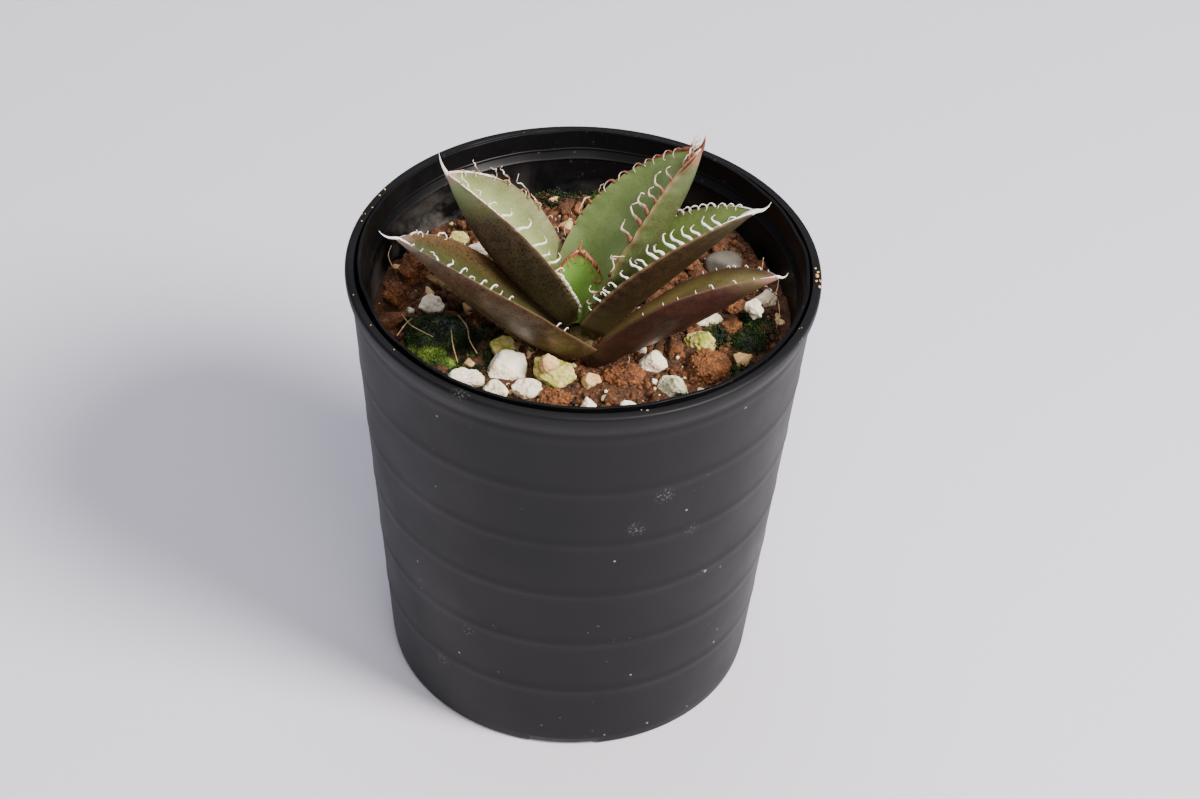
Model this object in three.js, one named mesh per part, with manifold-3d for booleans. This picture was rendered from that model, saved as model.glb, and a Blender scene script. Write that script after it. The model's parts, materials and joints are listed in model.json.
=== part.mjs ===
// Potted agave: a small toothed agave grown in a thin nursery pot, which stands inside a ringed
// cover pot. Millimetres, +Z up, origin at the centre of the cover pot's foot.
import * as THREE from 'three';
import { mergeVertices } from 'three/addons/utils/BufferGeometryUtils.js';
import Module from 'manifold-3d';

const wasm = await Module();
wasm.setup();

// ---------------------------------------------------------------- driving dimensions
const clearance = 0.3; // left between pieces that touch
const roundSteps = 48; // sides of every turned piece
const finestDetail = 0.02; // facets flatter than this are joined

const cover = {
  height: 93.6,
  rimRadius: 45,
  shoulderRadius: 44.2, // the wall's mean line carried up to the rim
  footRadius: 36.3,
  wall: 1.7,
  rimInnerRadius: 43.2,
  footRingWidth: 3.2,
  floorUnder: 3,
  floorTop: 4.6,
  drainRadius: 5,
  firstRing: 17, // height of the lowest of the moulded rings
  ringPitch: 14.1,
  ringCount: 6,
  ringSwell: 0.22, // how far a ring stands out from the mean line, and sinks in above it
  notchWidth: 13,
  notchHeight: 1.3,
  notchCount: 4,
};

const nursery = {
  base: cover.floorTop + clearance,
  top: 94.1,
  wall: 0.7,
  baseRadius: 34.2,
  collarRadius: 42.7, // outside, at the top edge
  collarHeight: 4.3,
  stepRadius: 41.4, // outside, just under the collar
  stepHeight: 1.7,
  drainRadius: 2.5,
  drainCircle: 20,
  drainCount: 6,
};

const soilLevel = 80.5;
const crown = new THREE.Vector3(0, -6.5, 0); // where the rosette stands in the pot
const stemRadius = 3.2;
const stemFoot = 64;
const stemTop = 82;

// ---------------------------------------------------------------- geometry helpers
function toManifold(geometry) {
  const bare = new THREE.BufferGeometry();
  bare.setAttribute('position', geometry.getAttribute('position').clone());
  bare.setIndex(geometry.getIndex());
  const merged = mergeVertices(bare, 1e-4);
  const mesh = new wasm.Mesh({
    numProp: 3,
    vertProperties: new Float32Array(merged.getAttribute('position').array),
    triVerts: new Uint32Array(dropSlivers(merged.getIndex().array)),
  });
  return new wasm.Manifold(mesh);
}

// A triangle with two corners alike is what a pole or a closed seam leaves behind.
function dropSlivers(index) {
  const kept = [];
  for (let i = 0; i < index.length; i += 3) {
    const [a, b, c] = [index[i], index[i + 1], index[i + 2]];
    if (a !== b && b !== c && c !== a) kept.push(a, b, c);
  }
  return kept;
}

function toGeometry(solid) {
  const mesh = solid.getMesh();
  const geometry = new THREE.BufferGeometry();
  geometry.setAttribute('position', new THREE.BufferAttribute(new Float32Array(mesh.vertProperties), 3));
  geometry.setIndex(new THREE.BufferAttribute(new Uint32Array(mesh.triVerts), 1));
  geometry.computeVertexNormals();
  return geometry;
}

// The biggest connected piece of a solid, for a cut that leaves crumbs.
function biggest(solid) {
  const pieces = solid.decompose();
  pieces.sort((a, b) => b.volume() - a.volume());
  return pieces[0];
}

// A turned solid: a profile of [radius, height] pairs, closed on itself or ending on the axis.
function turned(profile, closed = true) {
  const points = profile.map(([r, z]) => new THREE.Vector2(r, z));
  if (closed) points.push(points[0].clone());
  return new THREE.LatheGeometry(points, roundSteps).rotateX(Math.PI / 2);
}

// A closed skin over rings of equally many points, each end closed by a fan to its middle.
function lofted(rings, hubOf = middleOf) {
  const count = rings[0].length;
  const positions = rings.flat().flatMap((p) => [p.x, p.y, p.z]);
  const index = [];
  for (let i = 0; i + 1 < rings.length; i++) {
    for (let j = 0; j < count; j++) {
      const a = i * count + j;
      const b = i * count + ((j + 1) % count);
      index.push(a, a + count, b, b, a + count, b + count);
    }
  }
  for (const [ring, last] of [[0, false], [rings.length - 1, true]]) {
    const middle = hubOf(rings[ring]);
    const hub = positions.length / 3;
    positions.push(middle.x, middle.y, middle.z);
    for (let j = 0; j < count; j++) {
      const a = ring * count + j;
      const b = ring * count + ((j + 1) % count);
      index.push(...(last ? [b, a, hub] : [a, b, hub]));
    }
  }
  const geometry = new THREE.BufferGeometry();
  geometry.setAttribute('position', new THREE.Float32BufferAttribute(positions, 3));
  geometry.setIndex(index);
  return geometry;
}

function middleOf(points) {
  const sum = points.reduce((total, p) => total.add(p), new THREE.Vector3());
  return sum.divideScalar(points.length);
}

// ---------------------------------------------------------------- cover pot
function coverLine(z) {
  return cover.footRadius + ((cover.shoulderRadius - cover.footRadius) * z) / cover.height;
}

function coverPot() {
  const { height, rimRadius, rimInnerRadius, wall, ringSwell, footRingWidth } = cover;
  const profile = [
    [cover.footRadius - 0.7, 0],
    [cover.footRadius - 0.1, 0.6],
  ];
  for (let k = 0; k < cover.ringCount; k++) {
    const z = cover.firstRing + k * cover.ringPitch;
    profile.push([coverLine(z) + ringSwell, z - 0.5]);
    profile.push([coverLine(z) - ringSwell, z + 0.9]);
  }
  profile.push(
    [rimRadius - 0.2, height - 2],
    [rimRadius, height - 0.9],
    [rimRadius - 0.25, height - 0.25],
    [rimRadius - 0.9, height],
    [rimInnerRadius + 0.1, height],
    [rimInnerRadius, height - 0.2],
    [rimInnerRadius - 0.55, height - 4.7],
    [coverLine(height - 6.4) - wall, height - 6.4],
    [coverLine(cover.floorTop + 1.4) - wall, cover.floorTop + 1.4],
    [coverLine(cover.floorTop) - wall - 1, cover.floorTop],
    [cover.drainRadius, cover.floorTop],
    [cover.drainRadius, cover.floorUnder],
    [cover.footRadius - footRingWidth, cover.floorUnder],
    [cover.footRadius - footRingWidth, 0],
  );
  let pot = toManifold(turned(profile));
  for (let k = 0; k < cover.notchCount; k++) {
    const notch = new THREE.BoxGeometry(2 * footRingWidth + 2, cover.notchWidth, 2 * cover.notchHeight);
    notch.translate(cover.footRadius - footRingWidth / 2, 0, 0);
    notch.rotateZ((k / cover.notchCount) * 2 * Math.PI);
    pot = pot.subtract(toManifold(notch));
  }
  return pot;
}

// ---------------------------------------------------------------- nursery pot
const stepZ = nursery.top - nursery.collarHeight;
const wallTopZ = stepZ - nursery.stepHeight;

// The nursery pot's inside radius below the collar.
function nurseryInside(z) {
  const t = (z - nursery.base) / (wallTopZ - nursery.base);
  return nursery.baseRadius + (nursery.stepRadius - nursery.baseRadius) * t - nursery.wall;
}

function nurseryPot() {
  const { base, top, wall, baseRadius, collarRadius, stepRadius } = nursery;
  const floor = base + wall + 0.2;
  const profile = [
    [0, base],
    [baseRadius - 0.7, base],
    [baseRadius, base + 0.7],
    [stepRadius, wallTopZ],
    [collarRadius - 0.45, stepZ],
    [collarRadius, top - 0.15],
    [collarRadius - 0.15, top],
    [collarRadius - wall + 0.15, top],
    [collarRadius - wall, top - 0.15],
    [collarRadius - 0.45 - wall, stepZ + 0.1],
    [stepRadius - wall, wallTopZ + 0.1],
    [nurseryInside(floor), floor],
    [0, floor],
  ];
  let pot = toManifold(turned(profile, false));
  for (let k = 0; k < nursery.drainCount; k++) {
    const hole = new THREE.CylinderGeometry(nursery.drainRadius, nursery.drainRadius, 6, 12);
    hole.rotateX(Math.PI / 2).translate(nursery.drainCircle, 0, base);
    hole.rotateZ(((k + 0.5) / nursery.drainCount) * 2 * Math.PI);
    pot = pot.subtract(toManifold(hole));
  }
  return pot;
}

// ---------------------------------------------------------------- leaves
// azimuth, turn, rise and roll in degrees; turn is how far the leaf swings round along its length,
// and rise its slope at the base and at the tip. halfWidth, keel (depth of the underside) and fold
// (how far the margins stand up, as a share of the half width) set the section; widest is where the
// leaf is broadest, and baseWidth its width at the base as a share of that. spine is the terminal
// spine's vector from the leaf's tip.
const leaves = [
  { name: 'leaf_centre', base: [-0.5, -5, 83.2], azimuth: 96, turn: 0, rise: [68, 84], length: 14.4,
    halfWidth: 4, keel: 1.6, fold: 0.35, roll: -8, widest: 0.55, baseWidth: 0.75,
    spine: [0.3, 0.4, 1.8], teeth: 3 },
  { name: 'leaf_back_right', base: [-0.2, -4.3, 83.1], azimuth: 40.7, turn: -24.8, rise: [45, 61.5],
    length: 41.2, halfWidth: 8.7, keel: 4.6, fold: 0.9, roll: -8.5, widest: 0.39, baseWidth: 0.68,
    spine: [0.5, 0, 3.2], teeth: 13 },
  { name: 'leaf_back_left', base: [-1.1, -4.1, 83.2], azimuth: 173.4, turn: -0.8, rise: [38, 63.6],
    length: 39.9, halfWidth: 10, keel: 2.5, fold: 0.83, roll: 14.8, widest: 0.48, baseWidth: 0.36,
    spine: [-1.5, 0, 4.8], teeth: 14 },
  { name: 'leaf_right', base: [1, -6.1, 82], azimuth: 3, turn: -5.5, rise: [50.5, 39.4], length: 42.4,
    halfWidth: 9.7, keel: 2.65, fold: 0.58, roll: -13.5, widest: 0.39, baseWidth: 0.55,
    spine: [2.8, 0, 2.2], teeth: 14 },
  { name: 'leaf_front_right', base: [1.6, -12.6, 79.6], azimuth: -5.4, turn: -3.3, rise: [36.2, 38.2],
    length: 42.6, halfWidth: 9, keel: 1.7, fold: 0.59, roll: -22.6, widest: 0.53, baseWidth: 0.46,
    spine: [1.9, 0, 0.9], teeth: 10 },
  { name: 'leaf_front_left', base: [-2.2, -9.2, 78.8], azimuth: 205.9, turn: -13.5, rise: [42.8, 48.9],
    length: 47.7, halfWidth: 11.4, keel: 1.9, fold: 0.5, roll: 10, widest: 0.41, baseWidth: 0.9,
    spine: [-3.4, 0, 1.5], teeth: 12 },
];
const leafStations = 12;
const channel = 0.55; // how deep the upper face dips between its margins, as a share of their rise
const leastHalfWidth = 0.45;
const midribSteps = 24;
const tooth = { first: 0.2, span: 0.72, reach: 1.5, swell: 0.8, radius: 0.4, sides: 4, sunk: 0.35 };
const radians = THREE.MathUtils.degToRad;

// The frame of a leaf at a share s of its length: where its midrib is, and its side and up vectors.
function leafFrame(leaf, s) {
  const at = new THREE.Vector3(...leaf.base);
  const heading = (share) => {
    const azimuth = radians(leaf.azimuth + leaf.turn * share);
    const rise = radians(THREE.MathUtils.lerp(leaf.rise[0], leaf.rise[1], share));
    const flat = Math.cos(rise);
    return new THREE.Vector3(flat * Math.cos(azimuth), flat * Math.sin(azimuth), Math.sin(rise));
  };
  for (let i = 0; i < midribSteps; i++) {
    at.addScaledVector(heading(((i + 0.5) / midribSteps) * s), (leaf.length * s) / midribSteps);
  }
  const along = heading(s);
  const azimuth = radians(leaf.azimuth + leaf.turn * s);
  const level = new THREE.Vector3(-Math.sin(azimuth), Math.cos(azimuth), 0);
  const raised = new THREE.Vector3().crossVectors(along, level);
  const roll = radians(leaf.roll);
  const side = level.clone().multiplyScalar(Math.cos(roll)).addScaledVector(raised, Math.sin(roll));
  const up = raised.clone().multiplyScalar(Math.cos(roll)).addScaledVector(level, -Math.sin(roll));
  return { at, along, side, up };
}

function halfWidthAt(leaf, s) {
  const swelling = leaf.baseWidth + (1 - leaf.baseWidth) * Math.sin((Math.min(s / leaf.widest, 1) * Math.PI) / 2);
  const past = Math.max(0, (s - leaf.widest) / (1 - leaf.widest));
  const share = s < leaf.widest ? swelling : Math.pow(1 - Math.pow(past, 1.9), 0.85);
  return Math.max(leaf.halfWidth * share, leastHalfWidth);
}

function keelAt(leaf, s) {
  const past = Math.max(0, (s - leaf.widest) / (1 - leaf.widest));
  const share = 0.85 * Math.pow(1 - Math.pow(past, 1.6), 0.8) + 0.15 * (1 - s);
  return Math.max(leaf.keel * share, leastHalfWidth);
}

// One ring of a leaf: a rounded keel below, and a channelled face above.
const keelSteps = 8;

function leafRing(leaf, s, grow) {
  const { at, side, up } = leafFrame(leaf, s);
  const width = halfWidthAt(leaf, s);
  const rise = leaf.fold * width;
  const depth = keelAt(leaf, s) + grow;
  const place = (x, z) => at.clone().addScaledVector(side, x).addScaledVector(up, z);
  const ring = [];
  for (let i = 0; i <= keelSteps; i++) {
    const angle = (i / keelSteps) * Math.PI;
    const cos = Math.cos(angle);
    const x = (width + 2 * grow) * Math.sign(cos) * Math.pow(Math.abs(cos), 0.9);
    const z = (rise + leaf.fold * grow) * Math.pow(Math.abs(cos), 1.5) - depth * Math.pow(Math.sin(angle), 1.15);
    ring.push(place(x, z));
  }
  for (const share of [-0.55, 0, 0.55]) {
    ring.push(place(share * width, rise * (1 - channel * (1 - share * share)) + 0.1 + 1.4 * grow));
  }
  return ring;
}

// The middle of a leaf's ring, between the keel and the bottom of the channel.
function leafHub(ring) {
  return middleOf([ring[keelSteps / 2], ring[keelSteps + 2]]);
}

function leafRings(leaf, grow = 0) {
  const rings = [];
  for (let i = 0; i < leafStations; i++) {
    rings.push(leafRing(leaf, i / (leafStations - 1), grow));
  }
  const tip = rings[rings.length - 1];
  const middle = leafHub(tip);
  for (const [reach, thickness] of [[0.45, 0.7], [1, 0.25]]) {
    const centre = middle.clone().addScaledVector(new THREE.Vector3(...leaf.spine), reach);
    rings.push(tip.map((p) => p.clone().sub(middle).multiplyScalar(thickness).add(centre)));
  }
  if (grow > 0) {
    const back = leafFrame(leaf, 0).along.multiplyScalar(-grow);
    rings.unshift(rings[0].map((p) => p.clone().add(back)));
  }
  return rings;
}

// Marginal teeth: slim four-sided cones, longest around the middle of the leaf.
function addTeeth(body, leaf, grow = 0) {
  let solid = body;
  for (let i = 0; i < leaf.teeth; i++) {
    const s = tooth.first + (tooth.span * (i + 0.5)) / leaf.teeth;
    for (const hand of [-1, 1]) {
      const { at, side, up } = leafFrame(leaf, s);
      const width = halfWidthAt(leaf, s);
      const reach = tooth.reach + tooth.swell * Math.sin(Math.PI * s);
      const out = side.clone().multiplyScalar(hand).addScaledVector(up, leaf.fold + 0.5).normalize();
      const root = at.clone().addScaledVector(side, hand * (width - 0.3)).addScaledVector(up, leaf.fold * width - 0.2);
      const cone = new THREE.ConeGeometry(tooth.radius + grow, reach + 3 * grow, tooth.sides);
      cone.translate(0, reach / 2 - tooth.sunk, 0);
      cone.applyQuaternion(new THREE.Quaternion().setFromUnitVectors(new THREE.Vector3(0, 1, 0), out));
      cone.translate(root.x, root.y, root.z);
      solid = solid.add(toManifold(cone));
    }
  }
  return solid;
}

// The dry, folded rest of an old leaf, lying on the soil.
const deadLeafPath = [
  [-29.7, 5.1, 84.6],
  [-24.5, 1.6, 84.2],
  [-19.3, -2.2, 83.4],
  [-13.5, -7.4, 82.4],
  [-8.5, -11.6, 81.6],
];
const deadLeafThickness = 0.55;

function deadLeaf() {
  const curve = new THREE.CatmullRomCurve3(deadLeafPath.map((p) => new THREE.Vector3(...p)));
  const stations = 9;
  const rings = [];
  for (let i = 0; i < stations; i++) {
    const t = i / (stations - 1);
    const at = curve.getPoint(t);
    const along = curve.getTangent(t);
    const side = new THREE.Vector3(-along.y, along.x, 0).normalize();
    const width = 1.1 + 0.5 * Math.sin(Math.PI * t) + 0.3 * (1 - t);
    const ring = [];
    for (let j = 0; j < 8; j++) {
      const angle = (j / 8) * 2 * Math.PI;
      const p = at.clone().addScaledVector(side, -width * Math.cos(angle));
      ring.push(p.add(new THREE.Vector3(0, 0, deadLeafThickness * Math.sin(angle))));
    }
    rings.push(ring);
  }
  return toManifold(lofted(rings));
}

// ---------------------------------------------------------------- granules and moss
// x, y: place on the soil; size: length, depth and height; turn in degrees.
const granules = [
  { name: 'pumice_big', at: [-13.4, -17.6], size: [7.6, 6.6, 6.4], turn: 20, kind: 'pumice' },
  { name: 'pumice_front_1', at: [-15.2, -23.7], size: [5.6, 4.2, 4.2], turn: 10, kind: 'pumice' },
  { name: 'pumice_front_2', at: [-9.5, -23.4], size: [6, 4.2, 4.4], turn: 10, kind: 'pumice' },
  { name: 'pumice_front_3', at: [-21.2, -20.6], size: [7.6, 4, 3.2], turn: -25, kind: 'pumice' },
  { name: 'pumice_left', at: [-28.6, -1], size: [4.9, 3.8, 3.6], turn: 5, kind: 'pumice', lift: 1.5 },
  { name: 'pumice_right', at: [14.1, -13.6], size: [6, 4.8, 4.4], turn: -8, kind: 'pumice' },
  { name: 'pumice_far_right', at: [35.4, 7.2], size: [4.8, 4, 3.8], turn: 30, kind: 'pumice' },
  { name: 'pumice_grey', at: [24.4, 0], size: [5.8, 4, 3.4], turn: 15, kind: 'pumice' },
  { name: 'pumice_back', at: [-20.2, 18.8], size: [5, 4.2, 3.6], turn: -30, kind: 'pumice' },
  { name: 'mossy_stone_left', at: [-14.6, -11.6], size: [4.8, 4.4, 4.6], turn: 0, kind: 'mossy' },
  { name: 'mossy_stone_front', at: [-4.4, -18.7], size: [8.2, 6, 5], turn: 4, kind: 'mossy' },
  { name: 'mossy_stone_right', at: [22.7, -7.3], size: [7, 5.4, 5.2], turn: 12, kind: 'mossy' },
  { name: 'mossy_stone_back', at: [-24.6, 22.4], size: [4, 3.4, 3.2], turn: 40, kind: 'mossy' },
  { name: 'kanuma_front', at: [2.4, -19.6], size: [4, 3.6, 3.4], turn: 0, kind: 'kanuma' },
  { name: 'kanuma_left', at: [-5.6, -19.8], size: [4.4, 3.2, 3], turn: 15, kind: 'kanuma', lift: 4.3 },
  { name: 'kanuma_right', at: [30.6, -12.5], size: [3.8, 3.6, 3.6], turn: 50, kind: 'kanuma' },
  { name: 'kanuma_far_right', at: [38, 0], size: [3.2, 3.4, 3.2], turn: 0, kind: 'kanuma' },
  { name: 'lichened_stone', at: [17.4, -19.8], size: [6.6, 5.6, 4.6], turn: 25, kind: 'lichened' },
  { name: 'akadama_right', at: [23.9, -14.6], size: [8.6, 7, 6], turn: 10, kind: 'akadama' },
  { name: 'akadama_front', at: [-3.9, -25.2], size: [5.6, 3.8, 3.6], turn: -15, kind: 'akadama' },
  { name: 'akadama_left', at: [-32.4, 11], size: [7, 6.6, 6.2], turn: 0, kind: 'akadama' },
  { name: 'akadama_far_left', at: [-36, 3], size: [5, 5.6, 5], turn: 20, kind: 'akadama' },
  { name: 'akadama_far_right', at: [29.6, 3.6], size: [4.8, 4, 3.8], turn: 0, kind: 'akadama' },
  { name: 'fibre_clod', at: [8, -17.8], size: [7, 6.4, 4.8], turn: -10, kind: 'clod' },
  { name: 'grey_pebble', at: [27.2, 17.4], size: [7.2, 5.6, 4.4], turn: -12, kind: 'pebble' },
  { name: 'moss_left', at: [-26.4, -8.2], size: [13, 10.6, 4.6], turn: -20, kind: 'moss' },
  { name: 'moss_right', at: [32, -7.2], size: [6.4, 5.2, 4.4], turn: 0, kind: 'moss' },
  { name: 'moss_far_right', at: [32.2, 0.2], size: [4.6, 5, 5], turn: 0, kind: 'moss', lift: 0.4 },
];

const kinds = {
  pumice: { color: 0xe9e4d6, rough: 0.1 },
  mossy: { color: 0x9aa645, rough: 0.08 },
  kanuma: { color: 0xd8b98a, rough: 0.08 },
  lichened: { color: 0xb9bda0, rough: 0.09 },
  akadama: { color: 0x7a4a30, rough: 0.1 },
  clod: { color: 0x6b4630, rough: 0.14 },
  pebble: { color: 0x6f7074, rough: 0.03 },
  moss: { color: 0x2f4422, rough: 0.12 },
};
const sunkShare = 0.3; // how much of a granule's height is below the soil level

// A granule is a faceted ball, stretched to its size, with slow bumps that differ from one to the next.
function granule(spec, grow = 0) {
  const ball = mergeVertices(bareBall(), 1e-4);
  const position = ball.getAttribute('position');
  const [length, depth, height] = spec.size;
  const { rough } = kinds[spec.kind];
  const seed = spec.at[0] * 1.7 + spec.at[1] * 2.3;
  const point = new THREE.Vector3();
  for (let i = 0; i < position.count; i++) {
    point.fromBufferAttribute(position, i).normalize();
    const bump = Math.sin(3.1 * point.x + seed) + Math.sin(3.7 * point.y - seed) + Math.sin(4.3 * point.z + 2 * seed);
    point.multiplyScalar(1 + (rough * bump) / 1.5);
    point.x = point.x * (length / 2 + grow);
    point.y = point.y * (depth / 2 + grow);
    point.z = point.z * (height / 2 + grow);
    position.setXYZ(i, point.x, point.y, point.z);
  }
  ball.rotateZ(radians(spec.turn));
  ball.translate(spec.at[0], spec.at[1], soilLevel + height * (0.5 - sunkShare) + (spec.lift ?? 0));
  return toManifold(ball);
}

function bareBall() {
  const ball = new THREE.IcosahedronGeometry(1, 1);
  ball.deleteAttribute('normal');
  ball.deleteAttribute('uv');
  return ball;
}

// ---------------------------------------------------------------- soil and stem
function soilSurface(x, y) {
  return 0.7 * Math.sin(x / 5.3 + 1) * Math.cos(y / 6.1) + 0.4 * Math.sin(x / 2.9 - y / 3.7);
}

function soilBlock() {
  const floor = nursery.base + nursery.wall + 0.2 + clearance;
  const profile = [[0, floor], [nurseryInside(floor) - clearance, floor]];
  profile.push([nurseryInside(soilLevel) - clearance, soilLevel]);
  for (const share of [0.9, 0.75, 0.6, 0.45, 0.3, 0.15]) {
    profile.push([nurseryInside(soilLevel) * share, soilLevel]);
  }
  profile.push([0, soilLevel]);
  const block = turned(profile, false);
  const position = block.getAttribute('position');
  for (let i = 0; i < position.count; i++) {
    const [x, y, z] = [position.getX(i), position.getY(i), position.getZ(i)];
    const edge = Math.hypot(x, y) > nurseryInside(soilLevel) * 0.95;
    if (z > soilLevel - 1 && !edge) position.setZ(i, z + soilSurface(x, y));
  }
  return toManifold(block);
}

function stem(grow = 0) {
  const r = stemRadius + grow;
  const profile = [
    [0, stemFoot - grow],
    [r * 0.5, stemFoot - grow],
    [r, stemFoot + 4],
    [r, stemTop - 2],
    [r * 0.75, stemTop + grow],
    [0, stemTop + 0.4 + grow],
  ];
  const body = new THREE.LatheGeometry(profile.map(([x, z]) => new THREE.Vector2(x, z)), 16);
  return toManifold(body.rotateX(Math.PI / 2).translate(crown.x, crown.y, 0));
}

// ---------------------------------------------------------------- assembly
const object = new THREE.Group();

function addPiece(name, solid, color, roughness) {
  const material = new THREE.MeshStandardMaterial({ color, roughness, metalness: 0 });
  const settled = biggest(toManifold(toGeometry(biggest(solid).simplify(finestDetail))));
  const mesh = new THREE.Mesh(toGeometry(settled), material);
  mesh.name = name;
  object.add(mesh);
}

addPiece('cover_pot', coverPot(), 0x2c2c30, 0.55);
addPiece('nursery_pot', nurseryPot(), 0x17171a, 0.25);
addPiece('stem', stem(), 0xb9a77c, 0.8);

// Each leaf gives way to the stem and to the younger leaves inside it, with their teeth.
let taken = stem(clearance);
for (const leaf of leaves) {
  const body = addTeeth(toManifold(lofted(leafRings(leaf), leafHub)), leaf);
  addPiece(leaf.name, body.subtract(taken), leaf.name === 'leaf_centre' ? 0x5f8a45 : 0x4c5a3c, 0.45);
  const room = toManifold(lofted(leafRings(leaf, clearance), leafHub));
  taken = taken.add(addTeeth(room, leaf, clearance)).add(body);
}

addPiece('dead_leaf', deadLeaf().subtract(taken), 0xa98d5b, 0.85);

let soil = soilBlock().subtract(taken);
for (const spec of granules) {
  addPiece(spec.name, granule(spec), kinds[spec.kind].color, 0.9);
  soil = soil.subtract(granule(spec, clearance));
}
addPiece('soil', soil, 0x4a3222, 0.95);

export default object;
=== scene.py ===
# Potted agave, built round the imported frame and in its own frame: +Z up, the pot's foot at z = 0.
# Shapes are worked out in millimetres and put into the meshes in metres.
import bpy
import bmesh
import json
import numpy as np
from mathutils import Matrix, Vector


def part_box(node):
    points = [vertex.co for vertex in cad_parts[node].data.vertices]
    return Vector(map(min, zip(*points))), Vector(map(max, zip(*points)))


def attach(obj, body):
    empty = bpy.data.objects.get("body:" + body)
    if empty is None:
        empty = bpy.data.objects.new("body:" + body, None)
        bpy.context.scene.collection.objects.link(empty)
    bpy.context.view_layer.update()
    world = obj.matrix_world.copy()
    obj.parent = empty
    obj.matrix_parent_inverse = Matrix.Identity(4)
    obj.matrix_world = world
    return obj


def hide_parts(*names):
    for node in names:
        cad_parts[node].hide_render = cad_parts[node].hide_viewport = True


mm = 0.001
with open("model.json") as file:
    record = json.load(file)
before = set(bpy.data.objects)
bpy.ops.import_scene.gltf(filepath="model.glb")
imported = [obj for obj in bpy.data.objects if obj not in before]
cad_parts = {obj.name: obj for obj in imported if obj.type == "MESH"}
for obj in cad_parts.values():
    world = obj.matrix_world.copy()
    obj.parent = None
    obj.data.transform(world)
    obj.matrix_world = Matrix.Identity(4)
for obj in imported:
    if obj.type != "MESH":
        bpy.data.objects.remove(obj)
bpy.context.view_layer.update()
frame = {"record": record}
rng = np.random.default_rng(7)
scene = bpy.context.scene


# Camera: where it stands (mm) and how it is turned (degrees)
cameraView = {"place": (0.0, -446.6, 440.7), "pitch": 40.44, "yaw": 0.42, "roll": 2.45, "lens": 90.0,
              "sensor": 36.0}


def turnPair(first, second, angle):
    # turns two square vectors in their own plane
    return first * np.cos(angle) + second * np.sin(angle), second * np.cos(angle) - first * np.sin(angle)


def addCamera(view):
    # looks along +Y tipped down by the pitch, then swings by the yaw and leans by the roll
    pitch, yaw, roll = np.radians([view["pitch"], view["yaw"], view["roll"]])
    forward = np.array([0, np.cos(pitch), -np.sin(pitch)])
    up = np.array([0, np.sin(pitch), np.cos(pitch)])
    right = np.array([1.0, 0, 0])
    forward, right = turnPair(forward, right, yaw)
    right, up = turnPair(right, up, roll)
    data = bpy.data.cameras.new("camera")
    data.lens = view["lens"]
    data.sensor_width = view["sensor"]
    data.clip_end = 20
    made = bpy.data.objects.new("camera", data)
    scene.collection.objects.link(made)
    turn = Matrix(np.stack([right, up, -forward], 1).tolist()).to_4x4()
    made.matrix_world = Matrix.Translation(Vector(view["place"]) * mm) @ turn
    scene.camera = made


addCamera(cameraView)
print("camera placed")


def linear(code):
    # an sRGB hex colour as linear light, by the sRGB curve
    parts = np.array([int(code[i:i + 2], 16) for i in (0, 2, 4)]) / 255
    light = np.where(parts <= 0.04045, parts / 12.92, ((parts + 0.055) / 1.055) ** 2.4)
    return (*light.tolist(), 1.0)


def addNode(material, kind, inputs=None, **settings):
    # one shader node: settings are its options; inputs maps a socket to a value, an output or a node,
    # and a node stands for its own first output
    made = material.node_tree.nodes.new("ShaderNode" + kind)
    for option, value in settings.items():
        setattr(made, option, value)
    for socket, value in (inputs or {}).items():
        if isinstance(value, bpy.types.Node):
            value = value.outputs[0]
        if isinstance(value, bpy.types.NodeSocket):
            material.node_tree.links.new(value, made.inputs[socket])
        else:
            made.inputs[socket].default_value = value
    return made


def startMaterial(name, **constants):
    # an empty material: its shader, with the constants set on the shader's own sockets
    material = bpy.data.materials.new(name)
    material.use_nodes = True
    material.node_tree.nodes.clear()
    shader = addNode(material, "BsdfPrincipled", constants)
    addNode(material, "OutputMaterial", {"Surface": shader.outputs[0]})
    return material, shader


def join(material, source, shader, socket):
    # carries one output to one of the shader's sockets
    material.node_tree.links.new(source, shader.inputs[socket])


mixFactor, mixA, mixB, mixResult = 0, 6, 7, 2  # the colour sockets of a Mix node


def smoothStep(low, high, x):
    # 0 below low, 1 above high, and 3t squared less 2t cubed between them
    t = np.clip((x - low) / (high - low), 0, 1)
    return t * t * (3 - 2 * t)


def hashed(cell, seed):
    # a random number from 0 to 1 for each whole-number cell
    h = cell[..., 0] * 73856093 ^ cell[..., 1] * 19349663 ^ cell[..., 2] * 83492791 ^ (seed * 40503 + 977)
    h = (h ^ (h >> 15)) * 2246822519 & 0xFFFFFFFF
    h = (h ^ (h >> 13)) * 3266489917 & 0xFFFFFFFF
    return ((h ^ (h >> 16)) & 0xFFFFFF) / 0xFFFFFF


def valueNoise(points, size, seed):
    # random numbers on a cubic lattice, blended across each cube by a smooth step; from -1 to 1
    q = points / size
    base = np.floor(q).astype(np.int64)
    f = q - base
    f = f * f * (3 - 2 * f)
    total = 0
    for corner in np.ndindex(2, 2, 2):
        step = np.array(corner)
        weight = np.prod(np.where(step == 1, f, 1 - f), axis=-1)
        total = total + weight * hashed(base + step, seed)
    return 2 * total - 1


def layeredNoise(points, size, seed, layers=4):
    # value noise at a size, its half, its quarter and so on, each half as strong
    return sum(valueNoise(points, size / 2 ** k, seed + 11 * k) / 2 ** k for k in range(layers))


def cellDistance(points, size, seed):
    # distance to the nearest of one random point in each cube of a lattice, as a share of the cube
    q = points / size
    base = np.floor(q).astype(np.int64)
    nearest = np.full(points.shape[:-1], 9.0)
    for corner in np.ndindex(3, 3, 3):
        cell = base + np.array(corner) - 1
        spot = cell + np.stack([hashed(cell, seed + k) for k in range(3)], -1)
        nearest = np.minimum(nearest, np.linalg.norm(q - spot, axis=-1))
    return nearest


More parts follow.
